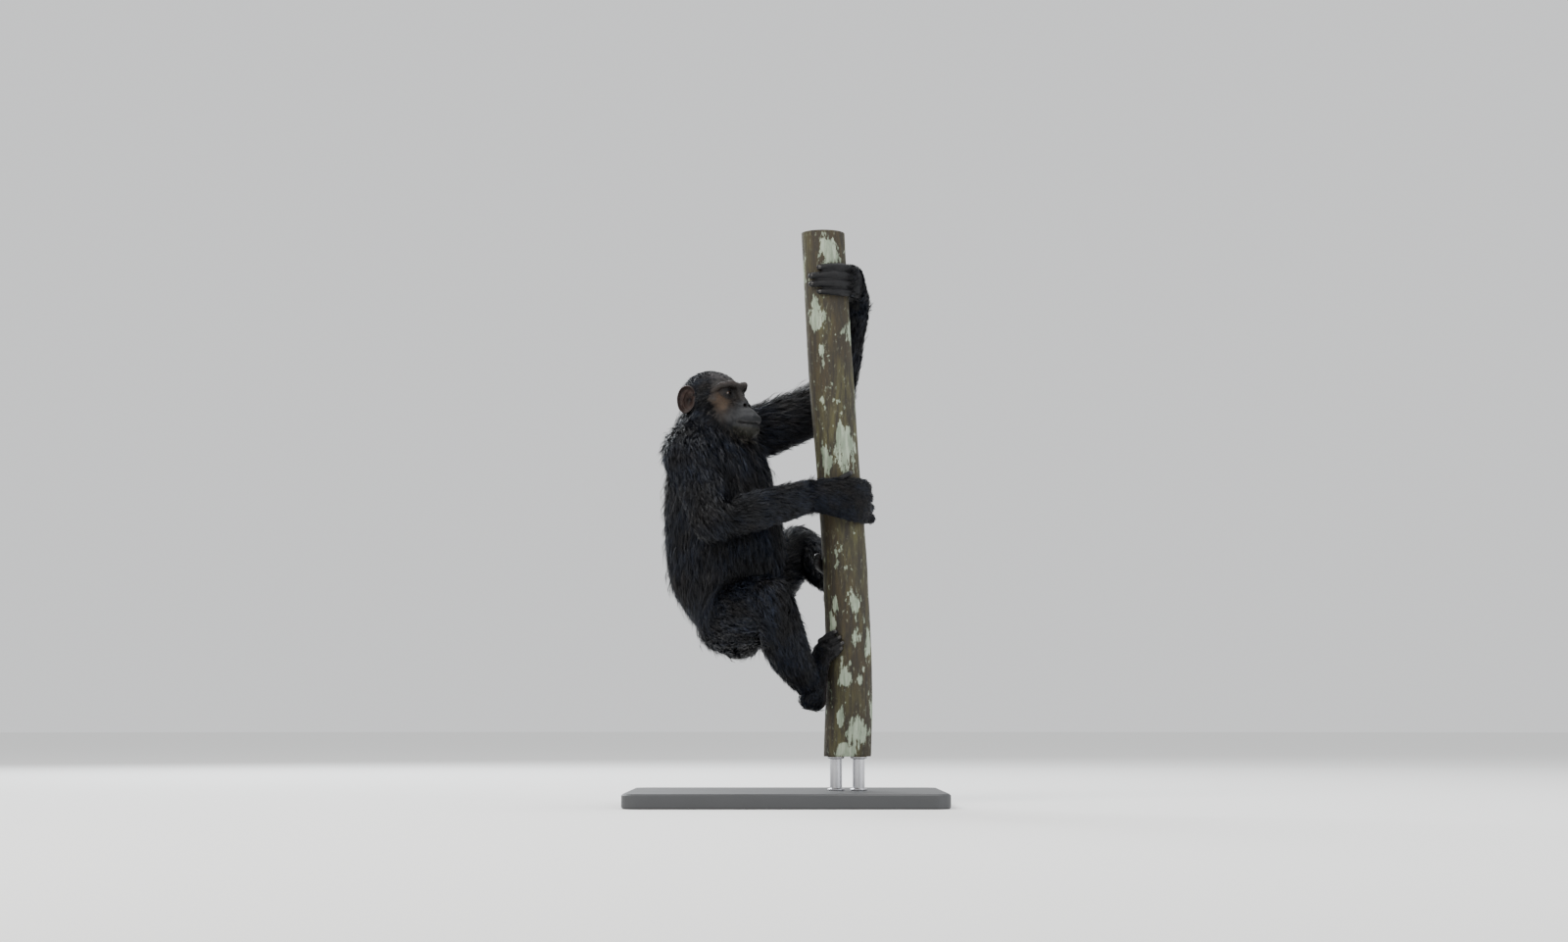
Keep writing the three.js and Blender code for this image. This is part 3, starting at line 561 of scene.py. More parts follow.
stand = {"rodRadius": 15, "collarRadius": 21, "collarHeight": 5, "round": 1.4, "around": 64}
baseMaterial, tree, shader = newMaterial("basePaint", 0.5)
place, shade, height = addMottling(tree, 900, 14, 0.22)
tree.links.new(shadeWith(tree, (0.040, 0.041, 0.043), shade), shader.inputs["Base Color"])
tree.links.new(ramp(tree, shade, 0.8, 1.2, 0.42, 0.56), shader.inputs["Roughness"])
addBump(tree, shader, height, 0.22, 0.0004)
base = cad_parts["stand_base"]
for slot in base.material_slots:
    slot.material = baseMaterial

steelMaterial, tree, shader = newMaterial("rodSteel", 0.34, {"Metallic": 1.0})
place = objectPlace(tree)
brushed = noise(tree, place, 260, detail=3, stretch=(1, 1, 0.05))
tree.links.new(blendColours(tree, brushed, (0.42, 0.42, 0.44), (0.62, 0.62, 0.64)), shader.inputs["Base Color"])
tree.links.new(ramp(tree, brushed, 0.3, 0.7, 0.26, 0.42), shader.inputs["Roughness"])
addBump(tree, shader, brushed, 0.2, 0.0002)
for index in (1, 2):
    low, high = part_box(f"stand_rod_{index}")
    middle = (low + high) / 2
    tall = high.z - low.z
    # profile from the bottom up: collar, rod, collar
    r, c, h, b = (stand[k] * mm for k in ("rodRadius", "collarRadius", "collarHeight", "round"))
    profile = [(0, 0), (c - b, 0), (c, b), (c, h - b), (c - b, h), (r + b, h), (r, h + b)]
    profile += [(x, tall - y) for x, y in reversed(profile)]
    rod = grid(stand["around"], len(profile) - 1)
    co = pointsOf(rod)
    row = np.rint((co[:, 1] + 1) / 2 * (len(profile) - 1)).astype(int)
    line = np.array(profile)[row]
    angle = co[:, 0] * math.pi
    x, y = middle.x + np.cos(angle) * line[:, 0], middle.y + np.sin(angle) * line[:, 0]
    setPoints(rod, np.stack([x, y, low.z + line[:, 1]], axis=1))
    rod = mended(joined([rod], f"standRod{index}"))
    pick(rod)
    bpy.ops.object.shade_smooth_by_angle(angle=math.radians(35))
    rod.data.materials.append(steelMaterial)
    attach(rod, "root")
    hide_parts(f"stand_rod_{index}")
print("stand")


# Body: sizes of its forms out to the tips of the coat, with the coat's depth last

def mix(a, b, share):
    return tuple(np.array(a, float) * (1 - share) + np.array(b, float) * share)


body = {
    "shoulder": {"Right": (-238, -122, 866), "Left": (-132, 128, 918)},
    "elbow": {"Right": (-178, -244, 680), "Left": (122, 145, 1014)},
    "wristRight": (62, -92, 760),
    "hip": {"Right": (-134, -72, 450), "Left": (-125, 72, 470)},
    "knee": {"Right": (-40, -250, 498), "Left": (32, 258, 655)},
    "heel": {"Right": 256, "Left": 514},
    "voxel": 6.5,
    "handVoxel": 1.9,
}
shoulder, elbow, hip, knee = (body[k] for k in ("shoulder", "elbow", "hip", "knee"))
wristRight = body["wristRight"]

torsoForm = {
    "stations": [(-114, 0, 408, 90, 62, 5, 26), (-128, 0, 470, 126, 102, 8, 28), (-145, 0, 560, 146, 145, 12, 30),
                 (-152, 0, 650, 154, 152, 16, 30), (-162, 0, 745, 158, 143, 22, 30), (-172, 0, 835, 156, 124, 27, 30),
                 (-186, 2, 905, 132, 100, 29, 28), (-192, 4, 948, 90, 76, 32, 26)],
    "side": (0, 1, 0), "reach": 0.7,
}
neckForm = {
    "stations": [(-194, 4, 900, 94, 92, 30, 24), (-196, 6, 950, 80, 84, 34, 22), (-190, 2, 1000, 70, 74, 38, 20)],
    "side": (0, 1, 0), "reach": 0.6,
}
upperArmForm = {
    "Right": {"stations": [(-212, -64, 884, 62, 60, 0, 20), (*shoulder["Right"], 70, 68, 0, 20),
                           (*mix(shoulder["Right"], elbow["Right"], 0.5), 62, 57, 0, 20),
                           (*elbow["Right"], 50, 47, 0, 17)],
              "side": (1, 0, 0)},
    "Left": {"stations": [(-165, 84, 890, 62, 60, 0, 20), (*shoulder["Left"], 74, 72, 0, 20),
                          (*mix(shoulder["Left"], elbow["Left"], 0.5), 71, 58, 0, 21), (*elbow["Left"], 62, 48, 0, 20)],
             "side": (0, 0, 1)},
}
forearmForm = {
    "Right": {"stations": [(*elbow["Right"], 50, 46, 0, 15), (*mix(elbow["Right"], wristRight, 0.3), 53, 46, 0, 15),
                           (*mix(elbow["Right"], wristRight, 0.7), 49, 40, 0, 13), (*wristRight, 42, 33, 0, 8)],
              "side": (0, 0, 1)},
    "Left": {"stations": [(*elbow["Left"], 48, 46, 0, 15), (138, 124, 1070, 48, 44, 0, 15),
                          (158, 92, 1165, 43, 38, 0, 12),
                          (*onTrunk(38, 1252, 40), 34, 29, 0, 6)],
             "side": (1, 0, 0)},
}
thighForm = {
    "Right": {"stations": [(-130, -40, 438, 74, 80, 0, 20), (*hip["Right"], 84, 83, 0, 20),
                           (*mix(hip["Right"], knee["Right"], 0.5), 83, 80, 0, 20), (*knee["Right"], 60, 60, 0, 16)],
              "side": (0, 0, 1)},
    "Left": {"stations": [(-126, 40, 460, 74, 80, 0, 20), (*hip["Left"], 88, 86, 0, 20),
                          (*mix(hip["Left"], knee["Left"], 0.5), 82, 78, 0, 20), (*knee["Left"], 59, 59, 0, 16)],
             "side": (0, 0, 1)},
}
shinForm = {
    "Right": {"stations": [(*knee["Right"], 57, 56, 0, 15), (-22, -200, 437, 64, 58, 0, 15),
                           (17, -118, 352, 53, 48, 0, 13),
                           (*onTrunk(-156, body["heel"]["Right"] + 42, 52), 37, 36, 0, 8)],
              "side": (1, 0, 0)},
    "Left": {"stations": [(*knee["Left"], 56, 56, 0, 15), (58, 222, 636, 54, 54, 0, 15), (86, 166, 592, 44, 44, 0, 12),
                          (*onTrunk(109, body["heel"]["Left"] + 44, 50), 34, 34, 0, 7)],
             "side": (1, 0, 0)},
}


def digit(start, end, out, radius):
    # a finger or toe that wraps round the trunk, thick at its joints
    stations = []
    for share, thick in ((0, 1.06), (0.3, 0.92), (0.52, 1.04), (0.76, 0.9), (1, 0.72)):
        azimuth, height = (start[k] + (end[k] - start[k]) * share for k in (0, 1))
        off = out + (radius * thick + 0.5 - out) * min(1, share * 2)
        stations.append((*onTrunk(azimuth, height, off), radius * thick, radius * thick, 0, 0.4))
    return {"stations": stations, "side": "palm"}


hand = {
    "Right": {"palm": [(*wristRight, 35, 27), (*onTrunk(-104, 757, 37), 43, 24), (*onTrunk(-72, 752, 27), 51, 21.5),
                       (*onTrunk(-36, 748, 19.5), 54, 17.5)],
              "knuckles": -32, "height": 748, "spread": 26.5, "turn": 1, "slant": 7,
              "tips": (62, 72, 70, 52), "radii": (12, 12.8, 12.6, 11.2), "thumb": ((-108, 784), (-64, 818))},
    "Left": {"palm": [(*onTrunk(38, 1252, 39), 29, 25), (*onTrunk(30, 1276, 33), 35.5, 24),
                      (*onTrunk(15, 1297, 25.5), 42, 19.5), (*onTrunk(-6, 1303, 19.5), 43, 16.5)],
             "knuckles": -8, "height": 1303, "spread": 21.5, "turn": -1, "slant": 0,
             "tips": (-104, -124, -124, -107), "radii": (10.6, 11.4, 11.2, 9.8), "thumb": ((34, 1282), (66, 1332))},
}
foot = {side: {"middle": middle, "turn": turn, "heel": body["heel"][side]}
        for side, middle, turn in (("Right", -150, 1), ("Left", 98, -1))}


def handForms(h):
    forms = [{"stations": h["palm"], "side": "palm", "reach": 0.7}]
    for i, radius in enumerate(h["radii"]):
        above = 1.5 - i
        start = (h["knuckles"] - h["turn"] * (4 + h["slant"] * above), h["height"] + above * h["spread"])
        forms.append(digit(start, (h["tips"][i], h["height"] + above * (h["spread"] - 1.2)), 18, radius))
    forms.append(digit(*h["thumb"], 22, 10))
    return forms


def footForms(f):
    middle, turn, heel = f["middle"], f["turn"], f["heel"]
    sole = [(-6, 0, 38, 27, 33), (-5, 45, 33, 28, 28), (-2, 92, 24, 33, 20.5), (2, 128, 17, 36, 14.5)]
    stations = [(*onTrunk(middle + turn * a, heel + b, c), d, e) for a, b, c, d, e in sole]
    forms = [{"stations": stations, "side": "palm", "reach": 0.9}]
    for i, (tip, radius) in enumerate(((30, 9), (39, 9), (45, 8.6), (42, 7.8))):
        start = (middle + turn * (-10 + 8 * i), heel + 147 - 16 * i)
        forms.append(digit(start, (middle + turn * tip, heel + 170 - 14 * i), 15, radius))
    forms.append(digit((middle - turn * 20, heel + 62), (middle - turn * 84, heel + 100), 20, 13))
    return forms


def paintTone(piece, tones):
    layer = piece.data.attributes.get("tone") or piece.data.attributes.new("tone", "FLOAT_COLOR", "POINT")
    layer.data.foreach_set("color", np.column_stack([tones, np.ones(len(tones))]).astype(np.float32).ravel())


def blendTones(tones, amount, colour):
    return tones * (1 - amount[:, None]) + np.array(colour) * amount[:, None]


# hang is how much a limb's hair falls
limbs = {
    "UpperArm": {"forms": upperArmForm, "hang": 0.45}, "Forearm": {"forms": forearmForm, "hang": 0.4},
    "Thigh": {"forms": thighForm, "hang": 0.5}, "Shin": {"forms": shinForm, "hang": 0.3},
}
bodyForms = [torsoForm, neckForm, *[limb["forms"][side] for side in sides for limb in limbs.values()]]
bodySkin = joined([sweptSkin(form) for form in bodyForms], "bodySkin")
modify(bodySkin, "REMESH", mode="VOXEL", voxel_size=body["voxel"] * mm)
modify(bodySkin, "SMOOTH", factor=0.5, iterations=7)
co = pointsOf(bodySkin) / mm
tones = np.tile((0.008, 0.0075, 0.008), (len(co), 1)) * (1 + 0.3 * roughField(co, 30, 2))[:, None]
paintTone(bodySkin, tones)
bodySkin.data.materials.append(skinMaterial)
print("body skin", len(bodySkin.data.polygons))


def sectionsOf(form, points, steps):
    # how far points lie from sections of a form along the sections' axes, and those sections
    centre, direction, across, up, wide, deep, coatDepth = along(form, steps)
    off = points[:, None, :] - centre[None]
    parts = [np.einsum("nkj,kj->nk", off, axis) for axis in (across, up, direction)]
    return parts, direction, wide, deep, coatDepth


def farOut(parts, sizes):
    return np.sqrt(sum((part / size) ** 2 for part, size in zip(parts, sizes)))


def nearestOn(forms, points, samples=24):
    # for each point: how far out it is in each form (1 on its skin), and the share of the form's length
    away, share = [], []
    steps = np.linspace(0, 1, samples)
    for form in forms:
        parts, direction, wide, deep, coatDepth = sectionsOf(form, points, steps)
        wide, deep = wide - coatDepth, deep - coatDepth
        out = farOut(parts, (wide, deep, np.minimum(wide, deep)))
        best = out.argmin(axis=1)
        away.append(out[np.arange(len(points)), best])
        share.append(steps[best])
    return np.array(away), np.array(share)


extremity = {}
# the knuckle tone is lighter so as to paint a highlight on the joints
hideTones = {
    "base": (0.0046, 0.0046, 0.0055), "crease": (0.0330, 0.0220, 0.0210), "knuckle": (0.0095, 0.0090, 0.0100),
}
fingerJoints = (0.3, 0.54, 0.78)
for side in sides:
    for kind, forms in (("hand", handForms(hand[side])), ("foot", footForms(foot[side]))):
        piece = joined([sweptSkin(form, 28, 40) for form in forms], f"{kind}{side}")
        modify(piece, "REMESH", mode="VOXEL", voxel_size=body["handVoxel"] * mm)
        modify(piece, "SMOOTH", factor=0.5, iterations=3)
        co = pointsOf(piece) / mm
        normals = normalsOf(piece)
        away, share = nearestOn(forms, co, 40)
        part = away.argmin(axis=0)
        where = share[part, np.arange(len(co))]
        outer = np.sum(fromTrunk(co) * normals, axis=1)  # 1 on the back of the hand
        onDigit = (part > 0) * smoothStep(0.1, 0.25, where)
        folds = np.zeros(len(co))
        for joint in fingerJoints:
            folds += bump(where, joint, 0.05) * np.cos((where - joint) * 2 * math.pi / 0.030)
        padded = bump(where, 0.54, 0.10) + 0.7 * bump(where, 0.30, 0.08)
        rough = roughField(co, 3.2, 21) + 0.7 * roughField(co * (1, 1, 0.4), 7, 22)
        raised = 0.40 * folds * smoothStep(-0.2, 0.5, outer) + 0.5 * padded * smoothStep(0, 0.6, outer)
        lift = onDigit * raised + 0.20 * rough
        setPoints(piece, (co + normals * lift[:, None]) * mm)
        tones = np.tile(hideTones["base"], (len(co), 1)) * (1 + 0.25 * rough)[:, None]
        second = np.sort(away[1:], axis=0)[:2]
        between = smoothStep(0.5, 0.12, second[1] - second[0]) * smoothStep(0.9, 0.3, outer) * onDigit
        tones = blendTones(tones, 0.5 * between * (kind == "foot") + 0.2 * between, hideTones["crease"])
        # painted highlight along the tops of the middle joints of the fingers and toes
        knuckle = 0.6 * onDigit * bump(where, 0.54, 0.07) * smoothStep(0, 0.7, outer)
        tones = blendTones(tones, knuckle, hideTones["knuckle"])
        if kind == "foot":
            tones = blendTones(tones, 0.35 * smoothStep(0.1, -0.5, outer), hideTones["crease"])
        paintTone(piece, tones)
        piece.data.materials.append(skinMaterial)
        extremity[kind, side] = {"piece": piece, "forms": forms}
print("hands and feet", sum(len(e["piece"].data.polygons) for e in extremity.values()))


# Nails, one over the end of each finger and toe, on the side away from the bark

nails = []
nailAt = 0.955  # share of the finger's length
for e in extremity.values():
    for form in e["forms"][1:]:
        centre, direction, across, up, wide, deep, coatDepth = (a[0] for a in along(form, [nailAt]))
        sideways = unit(np.cross(direction, fromTrunk(centre)))
        outwards = np.cross(sideways, direction)
        nail = ball(20, 14)
        co = pointsOf(nail)
        length, width = 0.72 * wide + 1.2, 0.68 * wide
        arch = 1 - 0.45 * co[:, 1] ** 2
        flat = np.where(co[:, 2] > 0, co[:, 2] * 0.16 * arch, co[:, 2] * 0.35)
        rise = wide * (0.80 - 0.20 * co[:, 1] ** 2 - 0.16 * np.clip(co[:, 0], 0, 1) ** 2)
        level = co[:, :2]
        squared = level / np.maximum(np.abs(level).max(axis=1, keepdims=True), 1e-6) * np.hypot(*level.T)[:, None]
        plan = 0.45 * squared + 0.55 * level
        points = centre + direction * (plan[:, :1] * length + 1.5) + sideways * plan[:, 1:] * width
        points = points + outwards * (rise + flat * wide)[:, None]
        setPoints(nail, points * mm)
        nails.append(mended(nail))
nailPiece = smoothed(joined(nails, "nails"))
nailPiece.data.materials.append(nailMaterial)
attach(nailPiece, "root")
print("nails")


# Head, in its own frame: +X to the face, +Y to the animal's left, +Z up

head = {
    "centre": (-175, -5, 1010), "yaw": -38, "pitch": 4.5, "core": (2, 0, 10),
    "eye": (51, 27, 12), "eyeRadius": 11.5, "lid": 2.3,
    "sides": 300, "rings": 236,
}
yaw, pitch = math.radians(head["yaw"]), math.radians(head["pitch"])
headTurn = turnLevel(yaw) @ np.array(
    [[math.cos(pitch), 0, math.sin(pitch)], [0, 1, 0], [-math.sin(pitch), 0, math.cos(pitch)]])


def headToFrame(points):
    return points @ headTurn.T + head["centre"]


def frameToHead(points):
    return (points - head["centre"]) @ headTurn


def mirrored(half):
    return [*half, *[(x, -y, z, r) for x, y, z, r in reversed(half)]]


def onBothSides(make):
    return [make(side) for side in (-1, 1)]


# each form is an ellipsoid (centre, radii) or a chain of balls, with how softly it runs into the rest
headForms = [
    (((-12, 0, 6), (73, 68, 62)), 0), (((26, 0, -14), (46, 57, 44)), 14),
    (mirrored([(32, 57, 14, 5), (51, 44, 29, 8), (67, 25, 36, 9), (70, 6, 31, 9)]), 10),
    *onBothSides(lambda s: ([(2, s * 62, -8, 6), (42, s * 47, -10, 10), (58, s * 27, -15, 9)], 12)),
    (((84, 0, -48), (46, 37, 30)), 16),
    (mirrored([(96, 35, -53, 8), (109, 29, -51, 10), (125, 12, -50, 11)]), 7),
    (mirrored([(96, 32, -70, 8), (108, 27, -73, 9.5), (123, 11, -74, 11)]), 7),
    (((106, 0, -84), (24, 26, 14)), 9),
    *onBothSides(lambda s: ([(2, s * 50, -42, 17), (40, s * 44, -62, 16), (88, s * 22, -81, 12)], 16)),
    *onBothSides(lambda s: (((48, s * 34, -36), (28, 16, 24)), 12)),
    *onBothSides(lambda s: ([(68, s * 34, -56, 14), (90, s * 30, -62, 12)], 8)),
    ([(66, 0, 20, 8), (82, 0, 3, 9), (94, 0, -11, 10)], 10),
    *onBothSides(lambda s: ([(84, s * 11, -16, 7), (97, s * 9.5, -18, 7.5)], 4)),
]
headHollows = [
    *onBothSides(lambda s: (((73, s * 29, 11), (17, 17, 12)), 8)),
    *onBothSides(lambda s: (((22, s * 78, 24), (28, 14, 22)), 12)),
    *onBothSides(lambda s: (((102, s * 9, -17), (9, 5.2, 4.4)), 1.6)),
]


def distanceTo(points, form):
    if len(form) == 2 and len(form[0]) == 3:
        off = points - np.array(form[0], float)
        radii = np.array(form[1], float)
        size = np.linalg.norm(off / radii, axis=1)
        slope = np.linalg.norm(off / radii**2, axis=1)
        return size * (size - 1) / np.maximum(slope, 1e-9)
    near = np.full(len(points), 1e9)
    for (*a, ra), (*b, rb) in zip(form, form[1:]):
        a, axis = np.array(a, float), np.array(b, float) - np.array(a, float)
        share = np.clip((points - a) @ axis / max(axis @ axis, 1e-9), 0, 1)
        away = np.linalg.norm(points - a - share[:, None] * axis, axis=1)
        near = np.minimum(near, away - (ra + (rb - ra) * share))
    return near


def softMin(a, b, soft):
    if soft == 0:
        return np.minimum(a, b)
    blend = np.maximum(soft - np.abs(a - b), 0) / soft
    return np.minimum(a, b) - blend * blend * soft / 4


eyeCentres = {side: np.array(head["eye"]) * (1, s, 1) for side, s in sides.items()}


def headDistance(points, lids=False):
    out = np.full(len(points), 1000.0)
    for form, soft in headForms:
        out = softMin(out, distanceTo(points, form), soft)
    for form, soft in headHollows:
        out = -softMin(-out, distanceTo(points, form), soft)
    if lids:
        for centre in eyeCentres.values():
            eyeball = np.linalg.norm((points - centre) * (1, 0.94, 1), axis=1) - head["eyeRadius"] - head["lid"]
            out = softMin(out, eyeball, 6)
    return out


def outermost(start, directions, far, distance):
    # marches from far out along lines towards their start until it meets the skin
    reach = np.full(len(directions), float(far))
    for step in range(46):
        off = distance(start + directions * reach[:, None])
        reach = reach - np.where(off > 0.02, np.clip(0.75 * off, 0.05, 24), np.where(off < -0.4, 0.5 * off, 0))
        reach = np.maximum(reach, -60)
    return start + directions * reach[:, None]


creases = {
    # rings under the eye: distance and depth
    "eye": [(13.5, 0.9), (18.0, 1.5), (23.0, 1.4), (28.5, 1.1), (34.5, 0.7)],
    "cheek": [(84, 15, -12, 0), (76, 27, -24, 0), (80, 37, -38, 0), (92, 40, -53, 0)],
    "cheekOuter": [(66, 34, -12, 0), (64, 44, -28, 0), (70, 48, -46, 0)],
    "mouth": {"height": -61.5, "corner": 107},
}


def fromMouth(points):
    # how far above or below the line between the lips, or behind its corners
    x, y, z = points.T
    level = creases["mouth"]["height"] + 0.7 * np.cos(0.16 * y)
    return np.hypot(z - level, np.maximum(creases["mouth"]["corner"] - x, 0))


def faceDetail(points, fine=True):
    # how far the skin rises over the plain form, in millimetres: folds, wrinkles, lips and mouth
    lift = np.zeros(len(points))
    below = points[:, 2] - head["eye"][2]
    for centre in eyeCentres.values():
        aside = (points[:, 1] - centre[1]) * 0.92
        ring = np.hypot(aside, below * (0.85 + 0.2 * (below < 0)))
        under = smoothStep(5, -8, below) * smoothStep(45, 53, points[:, 0])
        for size, depth in creases["eye"]:
            lift -= depth * bump(ring + 0.8 * np.sin(aside * 0.35), size, 1.7) * under
        lift -= 0.9 * bump(ring, 12.0, 1.2) * smoothStep(2, 7, below) * (points[:, 0] > 50)
    folded = points * (1, 0, 1) + np.abs(points) * (0, 1, 0)
    lift -= 1.3 * bump(distanceTo(folded, creases["cheek"]), 0, 2.6)
    lift -= 0.8 * bump(distanceTo(folded, creases["cheekOuter"]), 0, 2.6)
    aboveMouth = fromMouth(points)
    lift -= 3.4 * bump(aboveMouth, 0, 1.5)
    lift += 1.4 * bump(aboveMouth, 4.0, 2.0)
    # fine upright lines on the lips, cross lines on the nose and the brow
    muzzle = smoothStep(78, 96, points[:, 0]) * smoothStep(-24, -36, points[:, 2])
    side = np.degrees(np.arctan2(points[:, 1], points[:, 0] - 78))
    upright = roughField(np.stack([side * 0.9, points[:, 2] * 0.16, points[:, 0] * 0.1], axis=1), 3.6, 31)
    lift += 0.7 * muzzle * upright
    nose = bump(points[:, 1], 0, 13) * bump(points[:, 2], 14, 12) * (points[:, 0] > 60)
    lift += 0.45 * nose * np.sin(points[:, 2] * 1.5 + 0.06 * points[:, 1] ** 2)
    if fine:
        face = smoothStep(10, 40, points[:, 0])
        lift += face * 0.45 * roughField(points * (1, 0.8, 1.6), 4.2, 33)
        lift += 0.35 * roughField(points, 9, 34)
    return lift


def faceTones(points):
    x, y, z = points.T
    wide = np.abs(y)
    tones = np.tile((0.0070, 0.0062, 0.0066), (len(points), 1))
    mottled = roughField(points, 11, 41) * 0.5 + roughField(points, 4, 42) * 0.35
    crown = smoothStep(34, 50, z) * smoothStep(-66, -20, x)
    tones = blendTones(tones, crown * 0.85, (0.0150, 0.0110, 0.0125))
    face = smoothStep(16, 38, x + 0.25 * np.clip(-z - 30, 0, 60)) * smoothStep(60, 44, z)
    tones = blendTones(tones, face, (0.0100, 0.0078, 0.0071))
    orange = np.exp(-(((x - 52) / 34) ** 2 + ((wide - 45) / 17) ** 2 + ((z + 10) / 24) ** 2))
    tones = blendTones(tones, np.clip(1.15 * orange + 0.5 * mottled * orange, 0, 1), (0.0320, 0.0195, 0.0110))
    # painted highlight along the top edge of the brow ridge
    brow = bump(z, 39, 6) * smoothStep(40, 60, x)
    tones = blendTones(tones, 0.8 * brow, (0.0330, 0.0250, 0.0230))
    muzzle = smoothStep(70, 92, x - 0.1 * z) * smoothStep(6, -14, z)
    tones = blendTones(tones, 0.9 * muzzle, (0.0115, 0.0125, 0.0145))
    # painted highlight: a pale edge along the lips beside the mouth line
    lips = bump(fromMouth(points), 3.7, 1.5) * muzzle
    tones = blendTones(tones, 0.85 * lips, (0.0380, 0.0370, 0.0360))
    # painted shade: a dark line in the crease between the lips
    tones = blendTones(tones, bump(fromMouth(points), 0, 1.7), (0.0015, 0.0012, 0.0012))
    chin = smoothStep(-66, -76, z) * smoothStep(84, 98, x)
    tones = blendTones(tones, 0.8 * chin, (0.0130, 0.0125, 0.0080))
    # painted shade in the eye sockets and over the lids
    for centre in eyeCentres.values():
        ring = np.hypot((y - centre[1]) * 0.8, z - centre[2])
        tones = blendTones(tones, 0.95 * smoothStep(20, 10, ring) * (x > 45), (0.0040, 0.0030, 0.0030))
    # painted shade inside the nostrils
    for side in (-1, 1):
        pit = np.linalg.norm((points - (101, side * 9, -17)) / (10, 6.4, 5.6), axis=1)
        tones = blendTones(tones, smoothStep(1.15, 0.75, pit), (0.003, 0.002, 0.002))
    return tones * (1 + 0.6 * mottled)[:, None]


headSkin = ball(head["sides"], head["rings"])
co = unit(pointsOf(headSkin))
polar = math.pi * (np.arccos(np.clip(co[:, 2], -1, 1)) / math.pi) ** 1.25
roll = np.arctan2(co[:, 1], co[:, 0])
rays = np.stack([np.cos(polar), np.sin(polar) * np.cos(roll), np.sin(polar) * np.sin(roll)], axis=1)
plain = outermost(np.array(head["core"], float), rays, 190, headDistance)
lifted = plain + rays * faceDetail(plain)[:, None]
setPoints(headSkin, headToFrame(lifted) * mm)
headSkin = mended(headSkin)
paintTone(headSkin, faceTones(frameToHead(pointsOf(headSkin) / mm)))
headSkin.data.materials.append(skinMaterial)
print("head")


# Eyelids: a fold of skin from the rim of each eye's opening out to the socket

lids = []
lidShape = {
    "columns": 80, "rows": 22, "turn": 7, "rimShare": 0.12,
    "rimWide": 8.6, "rimUpper": 4.3, "rimLower": 3.5, "outerWide": 19.0, "outerHigh": 15.5,
}
for side, s in sides.items():
    lid = grid(lidShape["columns"], lidShape["rows"])
    co = pointsOf(lid)
    angle, out = co[:, 0] * math.pi, (co[:, 1] + 1) / 2
    centre = eyeCentres[side]
    turn = math.radians(s * lidShape["turn"])
    ahead = np.array([math.cos(turn), math.sin(turn), 0])
    aside = np.array([-math.sin(turn), math.cos(turn), 0])
    rimHigh = np.where(np.sin(angle) > 0, lidShape["rimUpper"], lidShape["rimLower"])
    rimAside = lidShape["rimWide"] * np.cos(angle)
    rimUp = rimHigh * np.sin(angle) * (1 - 0.22 * np.cos(angle) ** 2) - 0.8 * s * np.cos(angle) * 0.4
    spread = np.clip((out - lidShape["rimShare"]) / (1 - lidShape["rimShare"]), 0, 1) ** 1.15
    shiftAside = rimAside + (lidShape["outerWide"] * np.cos(angle) - rimAside) * spread
    shiftUp = rimUp + (lidShape["outerHigh"] * np.sin(angle) - rimUp) * spread
    start = centre + aside * shiftAside[:, None] + np.array([0, 0, 1.0]) * shiftUp[:, None]
    skinned = outermost(start, np.tile(ahead, (len(start), 1)), 34, lambda p: headDistance(p, lids=True))
    skinned = skinned + ahead * faceDetail(skinned, fine=False)[:, None]
    # the rim turns in to the eyeball
    level = np.sqrt(np.maximum(head["eyeRadius"] ** 2 - shiftAside**2 - shiftUp**2, 0))
    ballFront = start + ahead * level[:, None]
    inRim = smoothStep(lidShape["rimShare"], 0.0, out)[:, None]
    points = skinned * (1 - inRim) + (ballFront + ahead * 0.1) * inRim
    points = points + ahead * (0.25 * smoothStep(0.1, 0.3, out) - 1.2 * smoothStep(0.86, 1, out))[:, None]
    points += ahead * (0.5 * bump(out, 0.16, 0.07))[:, None]
    setPoints(lid, headToFrame(points) * mm)
    lid = mended(lid)
    paintTone(lid, faceTones(frameToHead(pointsOf(lid) / mm)))
    lid.data.materials.append(skinMaterial)
    lids.append(lid)
print("eyelids")


# Eyeballs: a wet dark ball with a clear bulge over the iris

eyeMaterial, tree, shader = newMaterial("eye", 0.12, {"Coat Weight": 0.35, "Coat Roughness": 0.03})
irisField = attribute(tree, "iris")
place = objectPlace(tree)
fibres = noise(tree, place, 900, detail=3)
white = blendColours(tree, ramp(tree, fibres, 0.3, 0.7), (0.014, 0.008, 0.006), (0.024, 0.014, 0.009))
iris = blendColours(tree, ramp(tree, fibres, 0.3, 0.7), (0.030, 0.013, 0.006), (0.065, 0.028, 0.010))
eyeColour = blendColours(tree, ramp(tree, irisField, 7.0, 6.4), white, iris)
eyeColour = blendColours(tree, ramp(tree, irisField, 3.0, 2.6), eyeColour, (0.002, 0.002, 0.002))
tree.links.new(eyeColour, shader.inputs["Base Color"])
for side, s in sides.items():
    eye = ball(48, 32)
    co = pointsOf(eye)
    look = unit(np.array([1.0, s * 0.05, -0.04]))
    facing = co @ look
    off = np.degrees(np.arccos(np.clip(facing, -1, 1)))
    bulge = 1 + 0.045 * smoothStep(34, 16, off)
    points = eyeCentres[side] + co * head["eyeRadius"] * bulge[:, None]
    setPoints(eye, headToFrame(points) * mm)
    # distance from the middle of the iris, and more than any of them on the ball's back
    addLayer(eye.data, "iris", np.sin(np.radians(off)) * head["eyeRadius"] + 20 * (facing < 0))
    eye = smoothed(joined([eye], f"eye{side}"))
    eye.data.materials.append(eyeMaterial)
    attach(eye, "root")
    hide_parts(f"eye_{side.lower()}")
print("eyes")


